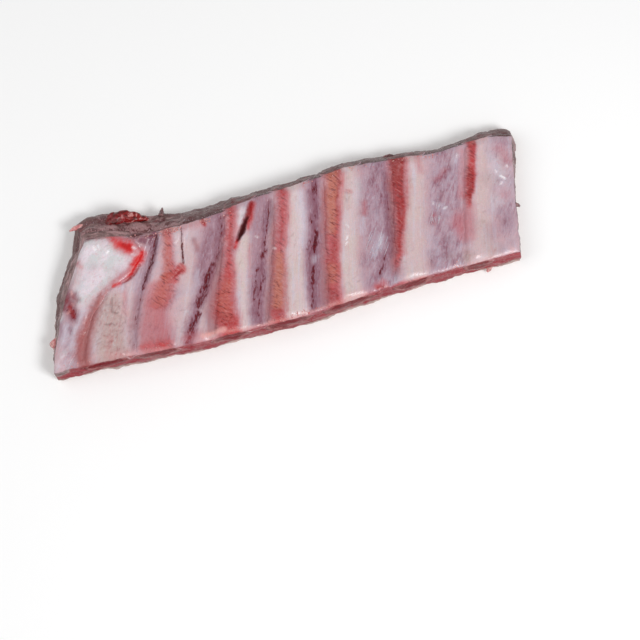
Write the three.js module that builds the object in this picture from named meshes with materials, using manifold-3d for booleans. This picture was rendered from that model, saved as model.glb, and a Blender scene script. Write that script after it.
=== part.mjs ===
// Raw pork ribs: one cut rack lying with its bone side up.
// Millimetres, +Z up, +X along the rack to its squarer end, +Y to its ragged thick edge.
// The origin is under the middle of the rack, on the surface that it lies on.
import * as THREE from "three";
import { mergeVertices } from "three/addons/utils/BufferGeometryUtils.js";
import Module from "manifold-3d";

const wasm = await Module();
wasm.setup();

// All plan sizes are taken from a spot between the fourth and the fifth rib.
// The middle of the whole rack lies here from that spot.
const MIDDLE_X = -1.6;
const MIDDLE_Y = 4.8;

// Rims of the bone side. Each station is x, y and the height above the table.
const FRONT_RIM = [
  [-127.2, -28.7, 14.5],
  [-95, -29.8, 16.6],
  [-64, -31.6, 17.2],
  [-24, -32.2, 17.4],
  [10, -31.4, 17.2],
  [38, -28.8, 16.8],
  [70, -27.6, 16.4],
  [109.5, -26.7, 15.6],
];
const BACK_RIM = [
  [-96.5, 31.6, 18.6],
  [-82, 29, 18.8],
  [-66, 26.6, 18.6],
  [-38, 27.2, 18.2],
  [-12, 31, 18],
  [18, 33.4, 17.8],
  [42, 35, 17.4],
  [84, 31.8, 16.6],
  [108, 33.2, 16.2],
  [121, 30.8, 15.4],
];

// The left end bows outwards by this much. The bow dies out along the rack.
const END_BOW = 3.6;
const BOW_FADE = [0.15, 0.36];

// How far each cut wall leans out beyond its rim.
const BACK_FLARE = [
  [-97, 12],
  [-80, 13.2],
  [-62, 9.8],
  [-38, 7.6],
  [0, 4.6],
  [60, 4],
  [121, 4.2],
];
const LEFT_FLARE = [
  [0, 0],
  [0.3, 3],
  [0.6, 5],
  [1, 5.6],
];
const FRONT_FLARE = 1.6;
const RIGHT_FLARE = 0.8;
const RIGHT_CORNER_FLARE = 2.4;

// Wall profile from rim to foot: share of the height gone down, share of the flare.
const WALL_PROFILE = [
  [0.07, 0.2],
  [0.25, 0.55],
  [0.48, 0.9],
  [0.7, 1],
  [0.9, 0.86],
  [1, 0.6],
];
const WALL_RIPPLE = 0.7;

// Bone side: a shallow trough along the rack, ridges over the bones, rolled rims.
const TROUGH = 2.2;
const RIDGE = 1.5;
const GROOVE = 1.3;
const ROLL = 1.1;
const ROLL_WIDTH = 3.5;

// Each rib: x of its left side at the front and the back rim, bow, width at both rims.
const RIBS = [
  { front: -112, back: -78, bow: -5, frontWidth: 22, backWidth: 12, end: 0.9 },
  { front: -87, back: -61, bow: -3.5, frontWidth: 22, backWidth: 17, end: 0.97 },
  { front: -47.5, back: -27.5, bow: -0.5, frontWidth: 17, backWidth: 14.5 },
  { front: -21, back: -2.5, bow: 1, frontWidth: 22, backWidth: 18.5 },
  { front: 9.5, back: 24, bow: 0.5, frontWidth: 23, backWidth: 18 },
  { front: 45, back: 59, bow: 0, frontWidth: 18, backWidth: 16 },
  { front: 81.5, back: 97, bow: -0.8, frontWidth: 13, backWidth: 13 },
];
const RIB_DEPTH = 8.6;
const RIB_SIDE = 2.6;

// White plate of breast cartilage over the end of the first rib: its inner edge, x and y.
const PLATE_EDGE = [
  [-78, 50],
  [-75, 27],
  [-70.5, 18],
  [-79, 9],
  [-92, 3.5],
  [-104, -8],
  [-113, -21],
  [-119, -27],
];
const PLATE_BACK_EDGE = 29;
const PLATE_THICK = 6;

// Layer of fat under the meat, on the skin side of the rack.
const FAT_THICK = 4.2;
const FAT_WAVE = 0.7;

// Lump of loose meat on the sloping back wall, and a scrap of fat on the left wall.
// Each lobe is its middle, then its length, width and height, and its turn in the plan.
const LUMP = [
  { x: -79.5, y: 37.6, z: 10.6, length: 14, width: 11, height: 10, turn: 0.15 },
  { x: -71.5, y: 35.2, z: 10.8, length: 12.5, width: 8.4, height: 8, turn: -0.55 },
  { x: -85, y: 36.4, z: 9.6, length: 8.5, width: 8, height: 7, turn: 0.5 },
];
const SCRAP = [
  { x: -122.8, y: -13.2, z: 8.6, length: 8.4, width: 5, height: 4.6, turn: 0.3 },
  { x: -122, y: -15.6, z: 7.6, length: 7.4, width: 4, height: 4.4, turn: 0.1 },
];

const LOBE_CRAG = 0.09;

const GAP = 0.3;

// Fineness of the faceted surfaces.
const COLUMNS = 48;
const ROWS = 10;
const RIB_STEPS = 8;
const RIB_ARC = 7;
const FAT_COLUMNS = 20;
const FAT_ROWS = 6;
const LUMP_SIDES = 16;
const SCRAP_SIDES = 12;

// Far enough out to clear the rack when something is cut with it.
const BEYOND = 26;

const lerp = THREE.MathUtils.lerp;
const clamp = THREE.MathUtils.clamp;
const smoothstep = THREE.MathUtils.smoothstep;

// Smooth value of column `item` at x on a line of stations that are sorted by x.
function along(stations, x, item = 1) {
  const last = stations.length - 1;
  const at = clamp(x, stations[0][0], stations[last][0]);
  let i = 0;
  while (i < last - 1 && stations[i + 1][0] < at) i += 1;
  const slope = (k) => {
    const a = stations[Math.max(k - 1, 0)];
    const b = stations[Math.min(k + 1, last)];
    return (b[item] - a[item]) / (b[0] - a[0]);
  };
  const [from, to] = [stations[i], stations[i + 1]];
  const span = to[0] - from[0];
  const t = (at - from[0]) / span;
  const bend = t * (1 - t) * span;
  const straight = lerp(from[item], to[item], t * t * (3 - 2 * t));
  return straight + bend * (slope(i) * (1 - t) - slope(i + 1) * t);
}

// Slow unevenness between -1 and 1, the same at every build.
function ripple(a, b) {
  return (
    0.5 * Math.sin(a / 5.3 + b / 7.1 + 0.6) +
    0.3 * Math.sin(a / 2.9 - b / 3.7 + 2.1) +
    0.2 * Math.sin(a / 1.9 + b / 2.3 + 4.4)
  );
}

// Stations from 0 to 1 that lie closer together at both ends.
function stations(count) {
  return Array.from({ length: count + 1 }, (_, i) => {
    const t = i / count;
    return t - 0.08 * Math.sin(2 * Math.PI * t);
  });
}

// Plan position and height of a rim at the share s of the way along it.
function rimPoint(rim, s) {
  const x = lerp(rim[0][0], rim[rim.length - 1][0], s);
  return new THREE.Vector3(x, along(rim, x), along(rim, x, 2));
}

// Left side and width of a rib at height y of the plan.
function ribBand(rib, y) {
  const low = along(FRONT_RIM, rib.front);
  const high = along(BACK_RIM, rib.back);
  const v = (y - low) / (high - low);
  const inside = clamp(v, 0, 1);
  return {
    v,
    left: lerp(rib.front, rib.back, v) + rib.bow * 4 * inside * (1 - inside),
    width: lerp(rib.frontWidth, rib.backWidth, inside),
  };
}

// Ridge over a bone and the groove along its left side.
function ribRelief(x, y) {
  let relief = 0;
  for (const rib of RIBS) {
    const { left, width } = ribBand(rib, y);
    const u = (x - left) / width;
    const crown = clamp((u + 0.05) / 1.15, 0, 1);
    relief += RIDGE * Math.sin(Math.PI * Math.pow(crown, 0.85)) ** 2;
    relief -= GROOVE * Math.exp(-(((x - left + 1.8) / 1.9) ** 2));
  }
  return relief;
}

// Point of the bone side at share s along the rack and share v from front to back.
function facePoint(s, v) {
  const front = rimPoint(FRONT_RIM, s);
  const back = rimPoint(BACK_RIM, s);
  const bow = -END_BOW * (1 - smoothstep(s, BOW_FADE[0], BOW_FADE[1]));
  const point = new THREE.Vector3().lerpVectors(front, back, v);
  point.x += bow * 4 * v * (1 - v);
  const across = back.y - front.y;
  const length = FRONT_RIM[FRONT_RIM.length - 1][0] - FRONT_RIM[0][0];
  const inward = Math.min(v * across, (1 - v) * across, s * length, (1 - s) * length);
  const edge = clamp(1 - inward / ROLL_WIDTH, 0, 1);
  const calm = 1 - 0.6 * edge;
  point.z += ribRelief(point.x, point.y) * calm - TROUGH * 4 * v * (1 - v) - ROLL * edge * edge;
  return point;
}

// How far out the wall leans at a point of the rim.
function flare(s, v, point) {
  const out = new THREE.Vector2();
  if (v === 1) out.y += along(BACK_FLARE, point.x);
  if (v === 0) out.y -= FRONT_FLARE;
  if (s === 0) out.x -= along(LEFT_FLARE, v);
  if (s === 1) out.x += RIGHT_FLARE + RIGHT_CORNER_FLARE * v ** 4;
  if (v === 1 && s === 0) out.multiplyScalar(0.85);
  return out;
}

// Closed solid from a position array and a triangle array.
function solidFrom(positions, triangles) {
  const geometry = new THREE.BufferGeometry();
  geometry.setAttribute("position", new THREE.Float32BufferAttribute(positions, 3));
  geometry.setIndex(triangles);
  return solidOf(geometry);
}

// Closed solid from a three.js geometry, with its shared vertices merged.
function solidOf(source) {
  const plain = source.clone();
  plain.deleteAttribute("normal");
  plain.deleteAttribute("uv");
  const merged = mergeVertices(plain, 1e-4);
  const mesh = new wasm.Mesh({
    numProp: 3,
    vertProperties: Float32Array.from(merged.attributes.position.array),
    triVerts: Uint32Array.from(merged.index.array),
  });
  return new wasm.Manifold(mesh);
}

// Triangles of a grid of rows and columns, facing up or down. Vertex (i, j) is at(i, j).
function gridTriangles(columns, rows, at, up) {
  const triangles = [];
  for (let i = 0; i < columns; i += 1) {
    for (let j = 0; j < rows; j += 1) {
      const [a, b, c, d] = [at(i, j), at(i + 1, j), at(i + 1, j + 1), at(i, j + 1)];
      if (up) triangles.push(a, b, c, a, c, d);
      else triangles.push(a, c, b, a, d, c);
    }
  }
  return triangles;
}

// The whole rack as one body, before it is parted into its pieces.
function wholeRack() {
  const across = stations(ROWS);
  const lengthwise = stations(COLUMNS);
  const positions = [];
  const push = (p) => positions.push(p.x, p.y, p.z) / 3 - 1;
  const face = lengthwise.map((s) => across.map((v) => facePoint(s, v)));
  const top = face.map((column) => column.map(push));

  // The rim, once round, seen from above against the clock.
  const rim = [];
  for (let i = 0; i < COLUMNS; i += 1) rim.push([i, 0]);
  for (let j = 0; j < ROWS; j += 1) rim.push([COLUMNS, j]);
  for (let i = COLUMNS; i > 0; i -= 1) rim.push([i, ROWS]);
  for (let j = ROWS; j > 0; j -= 1) rim.push([0, j]);

  const triangles = gridTriangles(COLUMNS, ROWS, (i, j) => top[i][j], true);
  let above = rim.map(([i, j]) => top[i][j]);
  let foot = [];
  for (const [down, share] of WALL_PROFILE) {
    foot = rim.map(([i, j]) => {
      const point = face[i][j];
      const out = flare(lengthwise[i], across[j], point).multiplyScalar(share);
      const wavy = 1 + (WALL_RIPPLE * share * ripple(point.x, point.y + 30 * down)) / (1 + out.length());
      const z = point.z * (1 - down);
      return push(new THREE.Vector3(point.x + out.x * wavy, point.y + out.y * wavy, z));
    });
    rim.forEach((_, k) => {
      const next = (k + 1) % rim.length;
      triangles.push(above[k], foot[k], foot[next], above[k], foot[next], above[next]);
    });
    above = foot;
  }
  const outline = foot.map((at) => new THREE.Vector2(positions[3 * at], positions[3 * at + 1]));
  for (const [a, b, c] of THREE.ShapeUtils.triangulateShape(outline, [])) {
    triangles.push(foot[a], foot[c], foot[b]);
  }
  return solidFrom(positions, triangles).translate([-MIDDLE_X, -MIDDLE_Y, 0]);
}

// A body swept through rings of equal length, each ring against the clock seen from its start.
function sweep(rings) {
  const count = rings[0].length;
  const positions = rings.flat().flatMap((p) => [p.x, p.y, p.z]);
  const at = (i, j) => i * count + (j % count);
  const triangles = gridTriangles(rings.length - 1, count, at, true);
  const flat = rings[0].map((p) => new THREE.Vector2(p.x, p.z));
  const last = (rings.length - 1) * count;
  for (const [a, b, c] of THREE.ShapeUtils.triangulateShape(flat, [])) {
    triangles.push(a, b, c, last + a, last + c, last + b);
  }
  const made = solidFrom(positions, triangles);
  return made.volume() > 0 ? made : solidFrom(positions, triangles.reverse());
}

// Height of the bone side over a rib's middle line, held level past the rims.
function spineHeight(rib, y) {
  const low = along(FRONT_RIM, rib.front);
  const high = along(BACK_RIM, rib.back);
  const v = clamp((y - low) / (high - low), 0, 1);
  const front = along(FRONT_RIM, rib.front, 2);
  const back = along(BACK_RIM, rib.back, 2);
  return lerp(front, back, v) - TROUGH * 4 * v * (1 - v) + RIDGE;
}

// The channel that a rib fills, open to the bone side. It is grown for the meat's side.
function ribChannel(rib, grow) {
  const low = along(FRONT_RIM, rib.front);
  const high = along(BACK_RIM, rib.back);
  const start = low - BEYOND;
  const finish = rib.end ? lerp(low, high, rib.end) + grow : high + BEYOND;
  const rings = [];
  for (let i = 0; i <= RIB_STEPS; i += 1) {
    const y = lerp(start, finish, i / RIB_STEPS);
    const { left, width } = ribBand(rib, y);
    const spine = spineHeight(rib, y);
    const half = width / 2 + grow;
    const middle = left + width / 2;
    const ring = [
      new THREE.Vector3(middle + half, y, spine + BEYOND),
      new THREE.Vector3(middle - half, y, spine + BEYOND),
    ];
    for (let k = 0; k <= RIB_ARC; k += 1) {
      const turn = Math.PI * (1 + k / RIB_ARC);
      const deep = (RIB_DEPTH - RIB_SIDE + grow) * Math.sin(turn);
      ring.push(new THREE.Vector3(middle + half * Math.cos(turn), y, spine - RIB_SIDE + deep));
    }
    rings.push(ring);
  }
  return sweep(rings).translate([-MIDDLE_X, -MIDDLE_Y, 0]);
}

// The room of the cartilage plate: everything past its inner edge and above its underside.
function plateRoom(grow) {
  const edge = new THREE.CatmullRomCurve3(
    PLATE_EDGE.map(([x, y]) => new THREE.Vector3(x + grow, y - grow, 0)),
  ).getPoints(20);
  const outline = new THREE.Shape(edge.map((p) => new THREE.Vector2(p.x, p.y)));
  const farLeft = FRONT_RIM[0][0] - BEYOND;
  outline.lineTo(farLeft, PLATE_EDGE[PLATE_EDGE.length - 1][1] - grow);
  outline.lineTo(farLeft, PLATE_EDGE[0][1]);
  const plate = new THREE.ExtrudeGeometry(outline, {
    depth: BEYOND + PLATE_THICK,
    bevelEnabled: false,
    curveSegments: 1,
  });
  const underside = BACK_RIM[0][2] - TROUGH - PLATE_THICK - grow;
  const back = new THREE.BoxGeometry(4 * BEYOND, 2 * BEYOND, 3 * BEYOND);
  back.translate(BACK_RIM[0][0], PLATE_BACK_EDGE + grow + BEYOND, 0);
  return solidOf(plate)
    .translate([0, 0, underside])
    .subtract(solidOf(back))
    .translate([-MIDDLE_X, -MIDDLE_Y, 0]);
}

// Everything under the wavy top of the fat layer.
function fatRoom(grow) {
  const left = FRONT_RIM[0][0] - BEYOND;
  const right = BACK_RIM[BACK_RIM.length - 1][0] + BEYOND;
  const front = -60;
  const back = 70;
  const positions = [];
  const layer = (height) =>
    Array.from({ length: FAT_COLUMNS + 1 }, (_, i) =>
      Array.from({ length: FAT_ROWS + 1 }, (_unused, j) => {
        const x = lerp(left, right, i / FAT_COLUMNS);
        const y = lerp(front, back, j / FAT_ROWS);
        return positions.push(x, y, height(x, y)) / 3 - 1;
      }),
    );
  const top = layer((x, y) => FAT_THICK + grow + FAT_WAVE * ripple(x / 2, y / 2));
  const low = layer(() => -BEYOND);
  const triangles = [
    ...gridTriangles(FAT_COLUMNS, FAT_ROWS, (i, j) => top[i][j], true),
    ...gridTriangles(FAT_COLUMNS, FAT_ROWS, (i, j) => low[i][j], false),
  ];
  const side = (a, b, c, d) => triangles.push(a, b, c, a, c, d);
  for (let i = 0; i < FAT_COLUMNS; i += 1) {
    side(low[i][0], low[i + 1][0], top[i + 1][0], top[i][0]);
    side(low[i + 1][FAT_ROWS], low[i][FAT_ROWS], top[i][FAT_ROWS], top[i + 1][FAT_ROWS]);
  }
  for (let j = 0; j < FAT_ROWS; j += 1) {
    side(low[0][j + 1], low[0][j], top[0][j], top[0][j + 1]);
    side(low[FAT_COLUMNS][j], low[FAT_COLUMNS][j + 1], top[FAT_COLUMNS][j + 1], top[FAT_COLUMNS][j]);
  }
  return solidFrom(positions, triangles).translate([-MIDDLE_X, -MIDDLE_Y, 0]);
}

// One uneven lobe, creased like a trimmed end of meat.
function lobeOf(size, grow, segments) {
  const ball = new THREE.SphereGeometry(0.5, segments, Math.round(segments / 2));
  const position = ball.attributes.position;
  const point = new THREE.Vector3();
  for (let i = 0; i < position.count; i += 1) {
    point.fromBufferAttribute(position, i);
    point.multiplyScalar(1 + LOBE_CRAG * ripple(point.x * 26 + size.x, point.y * 22 + point.z * 31));
    point.x *= size.length + 2 * grow;
    point.y *= size.width + 2 * grow;
    point.z *= size.height + 2 * grow;
    position.setXYZ(i, point.x, point.y, point.z);
  }
  ball.rotateZ(size.turn);
  ball.translate(size.x - MIDDLE_X, size.y - MIDDLE_Y, size.z);
  return solidOf(ball);
}

// A lump of several lobes grown together.
function lumpOf(lobes, grow, segments) {
  return lobes.map((lobe) => lobeOf(lobe, grow, segments)).reduce((a, b) => a.add(b));
}

// Only the largest body of a cut, without the loose scraps beside it.
function largest(solid) {
  return solid.decompose().reduce((a, b) => (a.volume() > b.volume() ? a : b));
}

// A named mesh of one solid.
function pieceOf(name, solid, material) {
  const { numProp, vertProperties, triVerts } = largest(solid).getMesh();
  const geometry = new THREE.BufferGeometry();
  const packed = new Float32Array((vertProperties.length / numProp) * 3);
  for (let i = 0; i * numProp < vertProperties.length; i += 1) {
    packed.set(vertProperties.subarray(i * numProp, i * numProp + 3), i * 3);
  }
  geometry.setAttribute("position", new THREE.BufferAttribute(packed, 3));
  geometry.setIndex(new THREE.BufferAttribute(triVerts, 1));
  geometry.computeVertexNormals();
  const mesh = new THREE.Mesh(geometry, material);
  mesh.name = name;
  return mesh;
}

const MATERIALS = {
  meat: new THREE.MeshStandardMaterial({ color: 0xb8858c, roughness: 0.42, metalness: 0 }),
  bone: new THREE.MeshStandardMaterial({ color: 0xd9c4c0, roughness: 0.36, metalness: 0 }),
  fat: new THREE.MeshStandardMaterial({ color: 0xe2cdc4, roughness: 0.5, metalness: 0 }),
  cartilage: new THREE.MeshStandardMaterial({ color: 0xe4dadd, roughness: 0.3, metalness: 0 }),
  darkMeat: new THREE.MeshStandardMaterial({ color: 0x8a4448, roughness: 0.42, metalness: 0 }),
};

const whole = wholeRack();
const rack = whole.subtract(lumpOf(LUMP, GAP, LUMP_SIDES)).subtract(lumpOf(SCRAP, GAP, SCRAP_SIDES));
let meat = rack.subtract(fatRoom(GAP)).subtract(plateRoom(GAP));

const group = new THREE.Group();
RIBS.forEach((rib, k) => {
  const bone = rack.intersect(ribChannel(rib, 0)).subtract(plateRoom(GAP));
  meat = meat.subtract(ribChannel(rib, GAP));
  group.add(pieceOf(`rib_bone_${k + 1}`, bone, MATERIALS.bone));
});
group.add(
  pieceOf("lean_meat", meat, MATERIALS.meat),
  pieceOf("fat_cover", rack.intersect(fatRoom(0)), MATERIALS.fat),
  pieceOf("breast_cartilage", rack.intersect(plateRoom(0)), MATERIALS.cartilage),
  pieceOf("back_meat_lump", lumpOf(LUMP, 0, LUMP_SIDES), MATERIALS.darkMeat),
  pieceOf("side_fat_scrap", lumpOf(SCRAP, 0, SCRAP_SIDES), MATERIALS.fat),
);

export default group;
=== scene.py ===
"""Looks of one rack of raw pork ribs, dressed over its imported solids.

The rack lies with its bone side up. Plan sizes are millimetres from a spot between
the fourth and the fifth rib, as the solids have them, and meshes are made in metres.
"""

from __future__ import annotations

import logging
import math
from dataclasses import dataclass
from enum import Enum
from typing import Sequence

import bmesh
import bpy
import numpy as np
from mathutils import Matrix, Vector


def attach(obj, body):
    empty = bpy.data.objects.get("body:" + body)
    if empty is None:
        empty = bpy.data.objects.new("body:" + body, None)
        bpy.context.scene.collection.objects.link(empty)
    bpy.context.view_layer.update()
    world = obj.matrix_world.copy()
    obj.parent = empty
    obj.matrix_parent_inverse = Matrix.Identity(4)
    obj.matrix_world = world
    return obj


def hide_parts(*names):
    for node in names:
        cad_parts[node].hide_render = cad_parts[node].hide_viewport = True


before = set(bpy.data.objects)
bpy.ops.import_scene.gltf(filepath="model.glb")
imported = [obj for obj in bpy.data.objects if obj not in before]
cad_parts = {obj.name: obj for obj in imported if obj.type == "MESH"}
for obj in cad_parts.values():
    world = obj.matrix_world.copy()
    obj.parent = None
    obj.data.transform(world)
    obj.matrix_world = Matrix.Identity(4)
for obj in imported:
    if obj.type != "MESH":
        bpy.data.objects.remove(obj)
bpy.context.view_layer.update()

LOG = logging.getLogger("pork_ribs")
MM = 0.001
BODY = "root"
MIDDLE_X = -1.6
MIDDLE_Y = 4.8

Array = np.ndarray
Stations = Sequence[Sequence[float]]
Masks = dict[str, Array]
Faces = list[Sequence[int]]
Sizes = dict[str, tuple[str, float | int]]
Rgb = tuple[int, int, int]


def blend(low: Array | float, high: Array | float, share: Array | float) -> Array:
    """Value at a share of the way from low to high."""
    return low + (high - low) * share


def fade(low: float, high: float, value: Array) -> Array:
    """Smooth step from 0 at low to 1 at high. It falls instead where high is below low."""
    share = np.clip((value - low) / (high - low), 0.0, 1.0)
    return share * share * (3.0 - 2.0 * share)


def hashed(column: Array, row: Array, seed: int) -> Array:
    """Repeatable value between 0 and 1 for each whole grid point.

    Args:
        column: Columns of the grid points.
        row: Their rows.
        seed: Seed of the pattern.

    Returns:
        The values.
    """
    mixed = (column * 374761393 + row * 668265263 + seed * 69069) & 0xFFFFFFFF
    mixed = ((mixed ^ (mixed >> 13)) * 1274126177) & 0xFFFFFFFF
    return ((mixed ^ (mixed >> 16)) & 0xFFFF) / 0xFFFF


def cloud(x: Array, y: Array, size: float, seed: int) -> Array:
    """Soft random value between 0 and 1 with lumps of about the given size.

    Args:
        x: Plan x.
        y: Plan y.
        size: Size of a lump.
        seed: Seed of the pattern.

    Returns:
        The value at each place.
    """
    across, along_y = np.broadcast_arrays(np.asarray(x, float) / size, np.asarray(y, float) / size)
    column = np.floor(across).astype(np.int64)
    row = np.floor(along_y).astype(np.int64)
    u = fade(0.0, 1.0, across - column)
    v = fade(0.0, 1.0, along_y - row)
    near = blend(hashed(column, row, seed), hashed(column + 1, row, seed), u)
    far = blend(hashed(column, row + 1, seed), hashed(column + 1, row + 1, seed), u)
    return blend(near, far, v)


def fractal(x: Array, y: Array, size: float, seed: int, octaves: int = 3) -> Array:
    """Random value around 0, from about -1 to 1, with finer lumps on larger ones.

    Args:
        x: Plan x.
        y: Plan y.
        size: Size of the largest lumps.
        seed: Seed of the pattern.
        octaves: How many sizes of lumps.

    Returns:
        The value at each place.
    """
    total = np.zeros(np.broadcast(x, y).shape)
    weight = 1.0
    reach = 0.0
    for octave in range(octaves):
        total += weight * (2.0 * cloud(x, y, size / 2**octave, seed + 17 * octave) - 1.0)
        reach += weight
        weight *= 0.55
    return total / reach


def along(stations: Stations, x: Array, item: int = 1) -> Array:
    """Smooth value of one column of a station table at x.

    Args:
        stations: Rows sorted by their first number.
        x: Where the value is wanted. It is held at the first and the last station.
        item: Column to read.

    Returns:
        The value at each x.
    """
    table = np.asarray(stations, float)
    places = table[:, 0]
    values = table[:, item]
    order = np.arange(len(places))
    ahead = np.minimum(order + 1, len(places) - 1)
    behind = np.maximum(order - 1, 0)
    slopes = (values[ahead] - values[behind]) / (places[ahead] - places[behind])
    at = np.clip(x, places[0], places[-1])
    start = np.clip(np.searchsorted(places, at, side="right") - 1, 0, len(places) - 2)
    span = places[start + 1] - places[start]
    t = (at - places[start]) / span
    straight = blend(values[start], values[start + 1], t * t * (3.0 - 2.0 * t))
    return straight + t * (1.0 - t) * span * (slopes[start] * (1.0 - t) - slopes[start + 1] * t)


def nearest(start: Sequence[float], finish: Sequence[float], x: Array, y: Array) -> tuple[Array, Array]:
    """Place on a straight line that is nearest to plan positions.

    Args:
        start: Plan position of the line's start.
        finish: Plan position of its end.
        x: Plan x.
        y: Plan y.

    Returns:
        Share of the way along the line, and distance from it.
    """
    dx, dy = finish[0] - start[0], finish[1] - start[1]
    t = np.clip(((x - start[0]) * dx + (y - start[1]) * dy) / (dx * dx + dy * dy), 0.0, 1.0)
    return t, np.hypot(x - start[0] - t * dx, y - start[1] - t * dy)


def lattice(s: Array, v: Array) -> tuple[Array, Array]:
    """Both values at every crossing of two rows of values, column by column."""
    crossed = np.meshgrid(s, v, indexing="ij")
    return crossed[0].ravel(), crossed[1].ravel()


def flat(a: Array, b: Array) -> Array:
    """Pattern coordinates from two values of each point."""
    return np.stack([a, b, 0.0 * a], axis=1)


def walked(x: Array, y: Array) -> Array:
    """Distance gone from the first point of a line to each of its points."""
    return np.concatenate([[0.0], np.cumsum(np.hypot(np.diff(x), np.diff(y)))])


def ring_faces(near: Array, far: Array) -> Faces:
    """Faces between two closed rings of point numbers."""
    return np.stack([near, far, np.roll(far, -1), np.roll(near, -1)], axis=1).tolist()


def to_frame(points: Array) -> Array:
    """Plan millimetres as metres of the shared frame."""
    return (points - np.array([MIDDLE_X, MIDDLE_Y, 0.0])) * MM


def store(mesh: bpy.types.Mesh, name: str, values: Array) -> None:
    """Stores a number or a vector for each vertex of a mesh.

    Args:
        mesh: The mesh.
        name: Name of the attribute that the finishes read.
        values: One number or one row of three for each vertex.
    """
    kind, field_name = ("FLOAT_VECTOR", "vector") if values.ndim == 2 else ("FLOAT", "value")
    layer = mesh.attributes.new(name, kind, "POINT")
    layer.data.foreach_set(field_name, values.astype(np.float32).ravel())


def vectors(mesh: bpy.types.Mesh, field_name: str) -> Array:
    """Reads a vector of each vertex of a mesh.

    Args:
        mesh: The mesh.
        field_name: The vector's name in Blender, such as its place.

    Returns:
        One row of three for each vertex.
    """
    found = np.zeros(len(mesh.vertices) * 3, np.float32)
    mesh.vertices.foreach_get(field_name, found)
    return found.reshape(-1, 3)


class Side(Enum):
    """The two long cut walls, by their share across the rack."""

    FRONT = 0.0
    BACK = 1.0


@dataclass(frozen=True)
class RibLine:
    """One rib's course: x of its left side at both rims, its bow and its widths."""

    front: float
    back: float
    bow: float
    front_width: float
    back_width: float
    end: float = 1.0


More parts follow.
